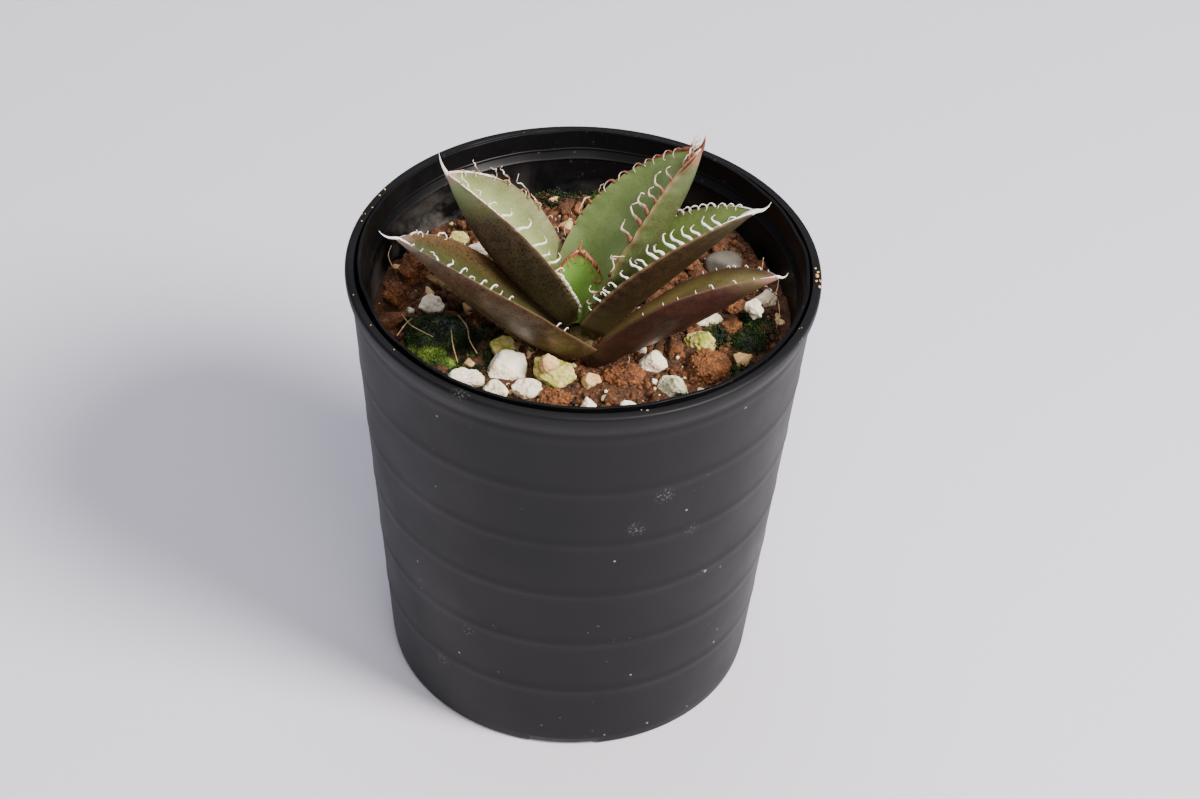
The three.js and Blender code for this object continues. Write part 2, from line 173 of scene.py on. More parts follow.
def gridFaces(rows, columns, wrapRows=False, wrapColumns=True):
    # quads between neighbouring rows and columns of a grid of points, joined round where it wraps
    i = np.arange(rows if wrapRows else rows - 1)[:, None]
    j = np.arange(columns if wrapColumns else columns - 1)[None, :]
    nextRow, nextColumn = (i + 1) % rows, (j + 1) % columns
    corners = [i * columns + j, i * columns + nextColumn, nextRow * columns + nextColumn, nextRow * columns
               + j]
    return np.stack(np.broadcast_arrays(*corners), -1).reshape(-1, 4)


def poleFaces(start, columns, pole, flip):
    # a fan from one ring of the grid to its pole
    j = np.arange(columns)
    fan = np.stack([start + j, start + (j + 1) % columns, np.full(columns, pole)], -1)
    return fan[:, ::-1] if flip else fan


def closedSkin(grid):
    # a grid of rings with each end closed by a fan to the middle of the end ring
    rows, columns = grid.shape[:2]
    points = np.concatenate([grid.reshape(-1, 3), grid[:1].mean(1), grid[-1:].mean(1)])
    first, last = rows * columns, rows * columns + 1
    faces = [gridFaces(rows, columns), poleFaces(0, columns, first, True),
             poleFaces((rows - 1) * columns, columns, last, False)]
    return points, faces


def makePiece(name, points, faceSets, material, replaces=(), attributes=None):
    # points (mm) and faces as whole arrays; a shape whose enclosed volume is negative is turned face out
    fan = np.concatenate([f[:, [0, k, k + 1]] for f in faceSets for k in range(1, f.shape[1] - 1)])
    a, b, c = (points[fan[:, k]] for k in range(3))
    if np.einsum("ij,ij->", a, np.cross(b, c)) < 0:
        faceSets = [f[:, ::-1] for f in faceSets]
    sizes = np.concatenate([np.full(len(f), f.shape[1]) for f in faceSets])
    corners = np.concatenate([f.ravel() for f in faceSets])
    mesh = bpy.data.meshes.new(name)
    mesh.vertices.add(len(points))
    mesh.vertices.foreach_set("co", (points * mm).astype(np.float32).ravel())
    mesh.loops.add(len(corners))
    mesh.loops.foreach_set("vertex_index", corners.astype(np.int32))
    mesh.polygons.add(len(sizes))
    mesh.polygons.foreach_set("loop_start", (np.cumsum(sizes) - sizes).astype(np.int32))
    mesh.polygons.foreach_set("use_smooth", np.ones(len(sizes), bool))
    for key, values in (attributes or {}).items():
        layer = mesh.attributes.new(key, "FLOAT", "POINT")
        layer.data.foreach_set("value", np.asarray(values, np.float32).ravel())
    mesh.update(calc_edges=True)
    mesh.materials.append(material)
    piece = bpy.data.objects.new(name, mesh)
    scene.collection.objects.link(piece)
    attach(piece, "root")
    if replaces:
        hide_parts(*replaces)
    return piece


def filleted(outline, steps=5, closed=True):
    # each corner (radius, height, rounding) becomes a parabola that
    # starts and ends that far along its two sides
    corners = np.array(outline, float)
    count = len(corners)
    t = np.linspace(0, 1, steps)[:, None]
    made = []
    for k in range(count):
        here, rounding = corners[k, :2], corners[k, 2]
        if rounding == 0 or (not closed and k in (0, count - 1)):
            made.append(here[None])
            continue
        before, after = corners[k - 1, :2], corners[(k + 1) % count, :2]
        start = here + (before - here) * min(0.48, rounding / np.linalg.norm(before - here))
        end = here + (after - here) * min(0.48, rounding / np.linalg.norm(after - here))
        made.append((1 - t) ** 2 * start + 2 * t * (1 - t) * here + t ** 2 * end)
    return np.concatenate(made)


def turned(profile, angles):
    # a profile of radius and height carried round the axis
    ring = np.stack([np.cos(angles), np.sin(angles)], -1)
    flat = profile[:, None, :1] * ring[None]
    return np.concatenate([flat, np.broadcast_to(profile[:, None, 1:], flat.shape[:2] + (1,))], -1)


def curveThrough(points, count):
    # a smooth curve through each row of points: Catmull-Rom, with the ends carried on straight
    padded = np.concatenate([2 * points[..., :1, :] - points[..., 1:2, :], points,
                             2 * points[..., -1:, :] - points[..., -2:-1, :]], -2)
    t = np.linspace(0, points.shape[-2] - 1, count)
    k = np.minimum(t.astype(int), points.shape[-2] - 2)
    u = (t - k)[:, None]
    p0, p1, p2, p3 = (padded[..., k + i, :] for i in range(4))
    return 0.5 * (2 * p1 + (p2 - p0) * u + (2 * p0 - 5 * p1 + 4 * p2 - p3) * u ** 2
                  + (3 * p1 - p0 - 3 * p2 + p3) * u ** 3)


def tubes(paths, across, halfWidth, halfDepth, sides=8):
    # many closed tubes at once: an ellipse carried along each path,
    # its long axis kept near the across vector
    count, stations = paths.shape[:2]
    along = np.gradient(paths, axis=1)
    along /= np.linalg.norm(along, axis=-1, keepdims=True) + 1e-9
    broad = across - along * np.sum(across * along, -1, keepdims=True)
    broad /= np.linalg.norm(broad, axis=-1, keepdims=True) + 1e-9
    thin = np.cross(along, broad)
    angle = np.arange(sides) * 2 * np.pi / sides
    rings = (paths[:, :, None] + broad[:, :, None] * (halfWidth[..., None] * np.cos(angle))[..., None]
             + thin[:, :, None] * (halfDepth[..., None] * np.sin(angle))[..., None])
    body = stations * sides
    points = np.concatenate([rings.reshape(count, body, 3), paths[:, :1], paths[:, -1:]], 1)
    one = [gridFaces(stations, sides), poleFaces(0, sides, body, True),
           poleFaces(body - sides, sides, body + 1, False)]
    shift = (np.arange(count) * (body + 2))[:, None, None]
    faces = [(f[None] + shift).reshape(-1, f.shape[1]) for f in one]
    share = np.concatenate([np.repeat(np.linspace(0, 1, stations), sides), [0, 1]])
    return points.reshape(-1, 3), faces, np.tile(share, count)


def joined(parts):
    # several sets of points and faces as one, with their attributes
    points, faces, values, start = [], [], [], 0
    for made, sets, value in parts:
        points.append(made)
        faces += [f + start for f in sets]
        values.append(value)
        start += len(made)
    return np.concatenate(points), faces, np.concatenate(values)


def ballMesh(level):
    # the directions and triangles of an even ball
    made = bmesh.new()
    bmesh.ops.create_icosphere(made, subdivisions=level, radius=1)
    directions = np.array([v.co[:] for v in made.verts])
    triangles = np.array([[v.index for v in f.verts] for f in made.faces])
    made.free()
    return directions / np.linalg.norm(directions, axis=1, keepdims=True), triangles


def evenDirections(count):
    # points spread evenly over a ball along a golden spiral
    k = np.arange(count) + 0.5
    height, angle = 1 - 2 * k / count, np.pi * (1 + 5 ** 0.5) * k
    flat = np.sqrt(1 - height ** 2)
    return np.stack([flat * np.cos(angle), flat * np.sin(angle), height], -1)


def randomTurns(count):
    # an even random rotation each, from a random quaternion
    w, x, y, z = (lambda q: (q / np.linalg.norm(q, axis=0)))(rng.normal(size=(4, count)))
    return np.stack([
        np.stack([1 - 2 * (y * y + z * z), 2 * (x * y - z * w), 2 * (x * z + y * w)], -1),
        np.stack([2 * (x * y + z * w), 1 - 2 * (x * x + z * z), 2 * (y * z - x * w)], -1),
        np.stack([2 * (x * z - y * w), 2 * (y * z + x * w), 1 - 2 * (x * x + y * y)], -1)], -2)


def brokenStone(directions, count, cuts, wear, spread):
    # radius along each direction inside a ring of random flat cuts:
    # a power mean of the cuts, sharper as wear grows
    planes = evenDirections(cuts)[None] + 0.35 * rng.normal(size=(count, cuts, 3))
    planes /= np.linalg.norm(planes, axis=-1, keepdims=True)
    planes = np.einsum("nij,nkj->nki", randomTurns(count), planes)
    offsets = 1 - spread * rng.random((count, cuts))
    facing = np.maximum(np.einsum("vj,nkj->nvk", directions, planes), 0) / offsets[:, None]
    return (facing ** wear).sum(-1) ** (-1 / wear)


def coverPlastic(name):
    # moulded polypropylene, charcoal: dull satin with a fine skin,
    # a bloom of handling marks and stray white dust
    material, shader = startMaterial(name, **{"Roughness": 0.48, "IOR": 1.49, "Specular IOR Level": 0.2})
    place = addNode(material, "TexCoord").outputs["Object"]
    cloud = addNode(material, "TexNoise", {"Vector": place, "Scale": 1 / (14 * mm), "Detail": 5.0})
    colour = addNode(material, "Mix", {mixFactor: cloud, mixA: linear("0c0c0d"), mixB: linear("121214")},
                     data_type="RGBA")
    dots = addNode(material, "TexVoronoi", {"Vector": place, "Scale": 1 / (4.2 * mm), "Randomness": 1.0})
    small = addNode(material, "MapRange", {"Value": dots.outputs["Distance"], "From Min": 0.035,
                                           "From Max": 0.075,
                                           "To Min": 1.0, "To Max": 0.0})
    parts = addNode(material, "SeparateColor", {"Color": dots.outputs["Color"]})
    rare = addNode(material, "MapRange", {"Value": parts, "From Min": 0.82, "From Max": 0.9})
    speck = addNode(material, "Math", {0: small, 1: rare}, operation="MULTIPLY")
    marks = addNode(material, "TexVoronoi", {"Vector": place, "Scale": 1 / (17 * mm), "Randomness": 1.0})
    markSpot = addNode(material, "MapRange", {"Value": marks.outputs["Distance"], "From Min": 0.05,
                                              "From Max": 0.14,
                                              "To Min": 1.0, "To Max": 0.0})
    powder = addNode(material, "TexNoise", {"Vector": place, "Scale": 1 / (0.5 * mm), "Detail": 3.0})
    powdered = addNode(material, "MapRange", {"Value": powder, "From Min": 0.52, "From Max": 0.66})
    dusted = addNode(material, "Math", {0: markSpot, 1: powdered}, operation="MULTIPLY")
    speck = addNode(material, "Math", {0: dusted, 1: 0.4, 2: speck},
                    operation="MULTIPLY_ADD", use_clamp=True)
    slanted = addNode(material, "Mapping", {"Vector": place, "Rotation": (0.5, 0.7, 0.3),
                                            "Scale": (1.0, 0.12, 1.0)})
    scuff = addNode(material, "TexNoise", {"Vector": slanted, "Scale": 1 / (1.1 * mm), "Detail": 2.0})
    patch = addNode(material, "TexNoise", {"Vector": place, "Scale": 1 / (11 * mm), "Detail": 1.0})
    scuffed = addNode(material, "MapRange", {"Value": scuff, "From Min": 0.7, "From Max": 0.76})
    where = addNode(material, "MapRange", {"Value": patch, "From Min": 0.62, "From Max": 0.72})
    mark = addNode(material, "Math", {0: scuffed, 1: where}, operation="MULTIPLY")
    dust = addNode(material, "Math", {0: speck, 1: mark}, operation="MAXIMUM")
    faint = addNode(material, "Math", {0: dust, 1: 0.5}, operation="MULTIPLY")
    dusty = addNode(material, "Mix", {mixFactor: faint, mixA: colour.outputs[mixResult],
                                      mixB: linear("b9b6b4")}, data_type="RGBA")
    join(material, dusty.outputs[mixResult], shader, "Base Color")
    gloss = addNode(material, "MapRange", {"Value": cloud, "From Min": 0.3, "From Max": 0.7,
                                           "To Min": 0.44, "To Max": 0.55})
    join(material, gloss.outputs[0], shader, "Roughness")
    grain = addNode(material, "TexNoise", {"Vector": place, "Scale": 1 / (0.35 * mm), "Detail": 2.0})
    bump = addNode(material, "Bump", {"Height": grain, "Strength": 0.12, "Distance": 0.05 * mm})
    join(material, bump.outputs[0], shader, "Normal")
    return material


def nurseryPlastic(name):
    # thin vacuum-formed sheet, black and glossy, with hard-water film drying in level lines above the soil,
    # and a painted reflection of the key light mixed into that film on the low left inner wall
    material, shader = startMaterial(name, **{"Roughness": 0.35, "IOR": 1.52, "Specular IOR Level": 0.1})
    place = addNode(material, "TexCoord").outputs["Object"]
    film = addNode(material, "TexNoise", {"Vector": place, "Scale": 1 / (9 * mm), "Detail": 6.0,
                                          "Roughness": 0.6, "Distortion": 0.8})
    fine = addNode(material, "TexNoise", {"Vector": place, "Scale": 1 / (0.8 * mm), "Detail": 3.0})
    axes = addNode(material, "SeparateXYZ", {"Vector": place})
    low = addNode(material, "MapRange", {"Value": axes.outputs[2], "From Min": 79 * mm, "From Max": 89 * mm,
                                         "To Min": 1.0, "To Max": 0.02})
    # painted reflection: the lighter grey is kept to the left inner wall, which faces the key light, so it
    # is partly film and partly a painted reflection
    leftFilmAndReflection = addNode(material, "MapRange", {"Value": axes, "From Min": -38 * mm, "From Max": -8 * mm,
                                              "To Min": 1.0, "To Max": 0.12})
    lowLeftFilmAndReflection = addNode(material, "Math", {0: low, 1: leftFilmAndReflection}, operation="MULTIPLY")
    cloudy = addNode(material, "MapRange", {"Value": film, "From Min": 0.4, "From Max": 0.75})
    filmAndReflection = addNode(material, "Math", {0: cloudy, 1: lowLeftFilmAndReflection}, operation="MULTIPLY")
    grit = addNode(material, "MapRange", {"Value": fine, "From Min": 0.68, "From Max": 0.74,
                                          "To Max": 0.14})
    amount = addNode(material, "Math", {0: filmAndReflection, 1: 1.0, 2: grit},
                     operation="MULTIPLY_ADD", use_clamp=True)
    colour = addNode(material, "Mix", {mixFactor: amount, mixA: linear("0d0d0f"), mixB: linear("8f8b84")},
                     data_type="RGBA")
    join(material, colour.outputs[mixResult], shader, "Base Color")
    gloss = addNode(material, "MapRange", {"Value": amount, "To Min": 0.32, "To Max": 0.65})
    join(material, gloss.outputs[0], shader, "Roughness")
    bump = addNode(material, "Bump", {"Height": film, "Strength": 0.12, "Distance": 0.2 * mm})
    join(material, bump.outputs[0], shader, "Normal")
    return material


def leafSkin(name, look):
    # waxy agave skin: a grey-green bloom over the face with a far half of brown speckle and painted shade,
    # a speckled brown underside, a horny rim and a dry tip.
    # Attributes along (base to tip), edge (mm in from the margin) and upper (1 on the face) carry it.
    material, shader = startMaterial(name, **{"Roughness": 0.42, "IOR": 1.45, "Subsurface Weight": 0.04,
                                              "Subsurface Scale": 1.0 * mm})
    place = addNode(material, "TexCoord").outputs["Object"]
    along = addNode(material, "Attribute", attribute_name="along").outputs["Fac"]
    edge = addNode(material, "Attribute", attribute_name="edge").outputs["Fac"]
    upper = addNode(material, "Attribute", attribute_name="upper").outputs["Fac"]
    slow = addNode(material, "TexNoise", {"Vector": place, "Scale": 1 / (6 * mm), "Detail": 4.0}).outputs[0]
    speckle = addNode(material, "TexNoise", {"Vector": place, "Scale": 1 / (0.55 * mm), "Detail": 2.5,
                                             "Roughness": 0.65}).outputs[0]
    dots = addNode(material, "TexVoronoi", {"Vector": place, "Scale": 1 / (0.6 * mm), "Randomness": 1.0})
    dot = addNode(material, "MapRange", {"Value": dots.outputs["Distance"], "From Min": 0.26,
                                         "From Max": 0.46,
                                         "To Min": 1.0, "To Max": 0.0}).outputs[0]
    blotch = addNode(material, "TexNoise", {"Vector": place, "Scale": 1 / (2.4 * mm),
                                            "Detail": 3.0}).outputs[0]

    bloom = addNode(material, "MapRange", {"Value": slow, "From Min": 0.35, "From Max": 0.65})
    face = addNode(material, "Mix", {mixFactor: bloom, mixA: linear(look["face"]),
                                     mixB: linear(look["faceBloom"])}, data_type="RGBA")
    stomata = addNode(material, "MapRange", {"Value": speckle, "From Min": 0.52, "From Max": 0.68,
                                             "To Max": look["faceSpeckle"]})
    faceFine = addNode(material, "Mix", {mixFactor: stomata, mixA: face.outputs[mixResult],
                                         mixB: linear(look["speckle"])}, data_type="RGBA")
    across = addNode(material, "Attribute", attribute_name="across").outputs["Fac"]
    # painted shade: the half of the face away from the camera side is mixed toward speckled brown; the
    # speckle is the leaf's own, the darkening of that whole half is painted shade
    far = addNode(material, "MapRange", {"Value": across, "From Min": -0.75, "From Max": -0.15,
                                         "To Min": look["farBrownAndShade"],
                                         "To Max": 0.0})
    farFine = addNode(material, "MapRange", {"Value": dot, "From Min": 0.1, "From Max": 0.9})
    farShadeTint = addNode(material, "Mix", {mixFactor: farFine, mixA: linear(look["underFlush"]),
                                        mixB: linear(look["speckle"])}, data_type="RGBA")
    faceFine = addNode(material, "Mix", {mixFactor: far, mixA: faceFine.outputs[mixResult],
                                         mixB: farShadeTint.outputs[mixResult]}, data_type="RGBA")
    nearEdge = addNode(material, "MapRange", {"Value": edge, "From Min": 0.2, "From Max": 2.2,
                                              "To Min": look["flush"],
                                              "To Max": 0.0})
    flushed = addNode(material, "Mix", {mixFactor: nearEdge, mixA: faceFine.outputs[mixResult],
                                        mixB: linear(look["under"])}, data_type="RGBA")

    tint = addNode(material, "MapRange", {"Value": blotch, "From Min": 0.38, "From Max": 0.62})
    under = addNode(material, "Mix", {mixFactor: tint, mixA: linear(look["under"]),
                                      mixB: linear(look["underFlush"])}, data_type="RGBA")
    freckle = addNode(material, "MapRange", {"Value": dot, "From Min": 0.1, "From Max": 0.9, "To Min": 0.0,
                                             "To Max": look["underSpeckle"]})
    freckled = addNode(material, "Mix", {mixFactor: freckle, mixA: under.outputs[mixResult],
                                         mixB: linear(look["speckle"])}, data_type="RGBA")
    towardTip = addNode(material, "MapRange", {"Value": along, "From Min": look["greenFrom"],
                                               "From Max": 0.95,
                                               "To Max": look["greenTip"]})
    greened = addNode(material, "Mix", {mixFactor: towardTip, mixA: freckled.outputs[mixResult],
                                        mixB: linear(look["face"])}, data_type="RGBA")

    side = addNode(material, "MapRange", {"Value": upper, "From Min": 0.4, "From Max": 0.6})
    skin = addNode(material, "Mix", {mixFactor: side, mixA: greened.outputs[mixResult],
                                     mixB: flushed.outputs[mixResult]}, data_type="RGBA")
    atBase = addNode(material, "MapRange", {"Value": along, "From Min": 0.0, "From Max": 0.3,
                                            "To Min": look["paleBase"],
                                            "To Max": 0.0})
    based = addNode(material, "Mix", {mixFactor: atBase, mixA: skin.outputs[mixResult],
                                      mixB: linear("7d7a4c")}, data_type="RGBA")
    rim = addNode(material, "MapRange", {"Value": edge, "From Min": 0.1, "From Max": 0.3, "To Min": 0.45,
                                         "To Max": 0.0})
    rimmed = addNode(material, "Mix", {mixFactor: rim, mixA: based.outputs[mixResult],
                                       mixB: linear(look["rim"])}, data_type="RGBA")
    wornTip = addNode(material, "MapRange", {"Value": along, "From Min": look["dryFrom"], "From Max": 1.0})
    ragged = addNode(material, "Math", {0: blotch, 1: 0.9}, operation="MULTIPLY")
    worn = addNode(material, "Math", {0: wornTip, 1: ragged}, operation="ADD")
    dry = addNode(material, "MapRange", {"Value": worn, "From Min": 0.85, "From Max": 1.15})
    final = addNode(material, "Mix", {mixFactor: dry, mixA: rimmed.outputs[mixResult],
                                      mixB: linear(look["dryTip"])}, data_type="RGBA")
    join(material, final.outputs[mixResult], shader, "Base Color")
    gloss = addNode(material, "MapRange", {"Value": blotch, "From Min": 0.3, "From Max": 0.7,
                                           "To Min": 0.36,
                                           "To Max": 0.52})
    join(material, gloss.outputs[0], shader, "Roughness")
    height = addNode(material, "Math", {0: speckle, 1: blotch}, operation="ADD")
    bump = addNode(material, "Bump", {"Height": height, "Strength": 0.3, "Distance": 0.12 * mm})
    join(material, bump.outputs[0], shader, "Normal")
    return material


def hornSkin(name, root, shaft, tip):
    # horn of teeth and spines: brown where it grows from the leaf,
    # then chalky ivory, worn darker at the very tip.
    # Attribute reach runs from root to tip, and tone differs from tooth to tooth.
    material, shader = startMaterial(name, Roughness=0.55, IOR=1.5)
    place = addNode(material, "TexCoord").outputs["Object"]
    reach = addNode(material, "Attribute", attribute_name="reach").outputs["Fac"]
    tone = addNode(material, "Attribute", attribute_name="tone").outputs["Fac"]
    streak = addNode(material, "TexNoise", {"Vector": place, "Scale": 1 / (0.6 * mm),
                                            "Detail": 3.0}).outputs[0]
    wavering = addNode(material, "Math", {0: streak, 1: 0.35, 2: -0.17}, operation="MULTIPLY_ADD")
    stage = addNode(material, "Math", {0: reach, 1: wavering}, operation="ADD")
    stage = addNode(material, "Math", {0: stage, 1: tone}, operation="SUBTRACT")
    ripe = addNode(material, "MapRange", {"Value": stage, "From Min": 0.0, "From Max": 0.22})
    body = addNode(material, "Mix", {mixFactor: ripe, mixA: linear(root), mixB: linear(shaft)},
                   data_type="RGBA")
    end = addNode(material, "MapRange", {"Value": reach, "From Min": 0.88, "From Max": 1.0, "To Max": 0.6})
    whole = addNode(material, "Mix", {mixFactor: end, mixA: body.outputs[mixResult], mixB: linear(tip)},
                    data_type="RGBA")
    join(material, whole.outputs[mixResult], shader, "Base Color")
    bump = addNode(material, "Bump", {"Height": streak, "Strength": 0.25, "Distance": 0.08 * mm})
    join(material, bump.outputs[0], shader, "Normal")
    return material


def gritStone(name, look):
    # a soil granule: two body colours in slow patches, fine grit, pores darkened with painted shade, and an
    # optional film of algae
    material, shader = startMaterial(name, Roughness=look["roughness"], IOR=1.5)
    place = addNode(material, "TexCoord").outputs["Object"]
    slow = addNode(material, "TexNoise", {"Vector": place, "Scale": 1 / (look["patch"] * mm),
                                          "Detail": 4.0}).outputs[0]
    fine = addNode(material, "TexNoise", {"Vector": place, "Scale": 1 / (look["grit"] * mm), "Detail": 3.0,
                                          "Roughness": 0.7}).outputs[0]
    parts = addNode(material, "MapRange", {"Value": slow, "From Min": 0.38, "From Max": 0.62})
    body = addNode(material, "Mix", {mixFactor: parts, mixA: linear(look["light"]),
                                     mixB: linear(look["deep"])}, data_type="RGBA")
    crumb = addNode(material, "MapRange", {"Value": fine, "From Min": 0.5, "From Max": 0.68,
                                           "To Max": look["gritShare"]})
    gritty = addNode(material, "Mix", {mixFactor: crumb, mixA: body.outputs[mixResult],
                                       mixB: linear(look["gritColour"])}, data_type="RGBA")
    # painted shade: the pores are darkened toward the pore shade colour in place of the shade inside them
    pore = addNode(material, "MapRange", {"Value": fine, "From Min": 0.3, "From Max": 0.4,
                                          "To Min": look["poreShade"],
                                          "To Max": 0.0})
    pitted = addNode(material, "Mix", {mixFactor: pore, mixA: gritty.outputs[mixResult],
                                       mixB: linear(look["poreShadeColour"])}, data_type="RGBA")
    coat = addNode(material, "TexNoise", {"Vector": place, "Scale": 1 / (2.2 * mm),
                                          "Detail": 5.0}).outputs[0]
    film = addNode(material, "MapRange", {"Value": coat, "From Min": look["algaeFrom"],
                                          "From Max": look["algaeFrom"] + 0.12,
                                          "To Max": look["algae"]})
    grown = addNode(material, "Mix", {mixFactor: film, mixA: pitted.outputs[mixResult],
                                      mixB: linear(look["algaeColour"])}, data_type="RGBA")
    shade = addNode(material, "Attribute", attribute_name="shade").outputs["Fac"]
    level = addNode(material, "MapRange", {"Value": shade, "To Min": 1.0, "To Max": look["shade"]})
    shaded = addNode(material, "HueSaturation", {"Color": grown.outputs[mixResult], "Value": level})
    join(material, shaded.outputs[0], shader, "Base Color")
    bump = addNode(material, "Bump", {"Height": fine, "Strength": look["bump"], "Distance": 0.25 * mm})
    join(material, bump.outputs[0], shader, "Normal")
    return material


plainGrit = {"roughness": 0.9, "patch": 2.6, "grit": 0.45, "gritShare": 0.5, "poreShade": 0.6, "algae": 0.0,
             "algaeFrom": 0.5, "algaeColour": "55691f", "bump": 0.6, "shade": 1.0}
stoneLooks = {
    "pumice": {**plainGrit, "light": "fff8e8", "deep": "f0dfbb", "gritColour": "fffdf5",
               "poreShadeColour": "93794f",
               "poreShade": 0.75, "gritShare": 0.7, "algae": 0.55, "algaeFrom": 0.6, "algaeColour": "c3bd6c",
               "bump": 0.9},
    "mossy_stone": {**plainGrit, "light": "e3cf8e", "deep": "bdb455", "gritColour": "f3e6b8",
                    "poreShadeColour": "4a4a14",
                    "poreShade": 0.85, "algae": 0.85, "algaeFrom": 0.47, "algaeColour": "8b9a28", "bump": 1.0},
    "kanuma": {**plainGrit, "light": "e6c690", "deep": "cb9a5c", "gritColour": "f6e6bf",
               "poreShadeColour": "7f5630", "bump": 0.9},
    "lichened_stone": {**plainGrit, "light": "ebe6cc", "deep": "c4c6a2", "gritColour": "f6f3e2",
                       "poreShadeColour": "3d4a22",
                       "poreShade": 0.9, "algae": 0.7, "algaeFrom": 0.56, "algaeColour": "5d7233"},
    "akadama": {**plainGrit, "light": "7d4a25", "deep": "4e2a12", "gritColour": "b98554",
                "poreShadeColour": "210e04",
                "poreShade": 0.95, "grit": 0.5, "bump": 1.0, "shade": 0.5},
    "fibre_clod": {**plainGrit, "light": "764220", "deep": "472310", "gritColour": "b57f4a",
                   "poreShadeColour": "241005",
                   "poreShade": 0.9, "grit": 0.5, "bump": 0.9},
    "pebble": {**plainGrit, "light": "635d54", "deep": "534e46", "gritColour": "7a7368",
               "poreShadeColour": "47423a",
               "poreShade": 0.2, "roughness": 0.6, "bump": 0.15, "gritShare": 0.3},
    "soil": {**plainGrit, "light": "4a2c17", "deep": "2e1a0c", "gritColour": "936035",
             "poreShadeColour": "120903",
             "poreShade": 0.9, "grit": 0.5, "bump": 1.0, "shade": 1.5},
}
materials = {slot: gritStone(slot.replace("_", " ") + " grit", look) for slot, look in stoneLooks.items()}
materials["cover_plastic"] = coverPlastic("moulded charcoal polypropylene")
materials["nursery_plastic"] = nurseryPlastic("glossy black formed sheet")
print("materials made")


coverPot = {"height": 93.6, "rim": 45.0, "shoulder": 44.2, "foot": 36.3, "wall": 1.7, "rimInner": 43.2,
            "footRing": 3.2, "floorUnder": 3.0, "floorTop": 4.6, "drain": 5.0, "firstRing": 17.0,
            "ringPitch": 14.1,
            "ringCount": 6, "swell": 0.14, "notchWidth": 13.0, "notchHeight": 1.3, "notchCount": 4,
            "columns": 240}


def wallLine(height):
    # the outside wall's radius at a height: a straight taper from the foot to the shoulder
    spec = coverPot
    return spec["foot"] + (spec["shoulder"] - spec["foot"]) * height / spec["height"]


def coverOutline():
    # up the outside by way of the moulded rings, over the rim, down the inside and back under the floor
    spec = coverPot
    top = spec["height"]
    outline = [(spec["foot"] - 0.7, 0, 0.15), (spec["foot"] - 0.1, 0.6, 0.5),
               (wallLine(2.4), 2.4, 0.2), (wallLine(4.0), 4.0, 0.2)]
    for k in range(spec["ringCount"]):
        z = spec["firstRing"] + k * spec["ringPitch"]
        outline += [(wallLine(z - 1.5), z - 1.5, 0.9), (wallLine(z) + spec["swell"], z, 0.9),
                    (wallLine(z + 1.5), z + 1.5, 0.9)]
    outline += [(spec["rim"] - 0.15, top - 2.6, 1.4), (spec["rim"], top, 1.0),
                (spec["rimInner"], top, 0.25),
                (spec["rimInner"] - 0.55, top - 4.7, 0.6), (wallLine(top - 6.4) - spec["wall"], top - 6.4,
                                                            0.6),
                (wallLine(spec["floorTop"]) - spec["wall"], spec["floorTop"], 1.2),
                (spec["drain"], spec["floorTop"], 0.3), (spec["drain"], spec["floorUnder"], 0.3),
                (spec["foot"] - spec["footRing"], spec["floorUnder"], 0.4),
                (spec["foot"] - spec["footRing"], 0, 0.2)]
    return filleted(outline, 6)


def makeCoverPot():
    # the outline carried round the axis, with extra columns where each drain notch starts and stops
    spec = coverPot
    half = np.degrees(spec["notchWidth"] / 2 / (spec["foot"] - spec["footRing"] / 2))
    centres = np.arange(spec["notchCount"]) * 360 / spec["notchCount"]
    extra = np.concatenate([centres + hand * half + step for hand in (-1, 1) for step in (-0.35, 0.35)])
    degrees = np.unique(np.concatenate([np.arange(spec["columns"]) * 360 / spec["columns"],
                                        extra % 360]).round(4))
    grid = turned(coverOutline(), np.radians(degrees))
    # a drain notch lifts the foot's lowest points to its own height
    off = np.abs((degrees[:, None] - centres + 180) % 360 - 180).min(1)
    lift = spec["notchHeight"] * (off < half)
    grid[..., 2] = np.maximum(grid[..., 2], lift[None])
    faces = [gridFaces(*grid.shape[:2], wrapRows=True)]
    makePiece("coverPot", grid.reshape(-1, 3), faces, materials["cover_plastic"],
              ["cover_pot"])


makeCoverPot()


nurseryPot = {"base": 4.9, "top": 94.1, "wall": 0.7, "baseRadius": 34.2, "collar": 42.7,
              "collarHeight": 4.3,
              "step": 41.4, "stepHeight": 1.7, "bead": 0.22,
              "columns": 288, "lipWave": 0.28}


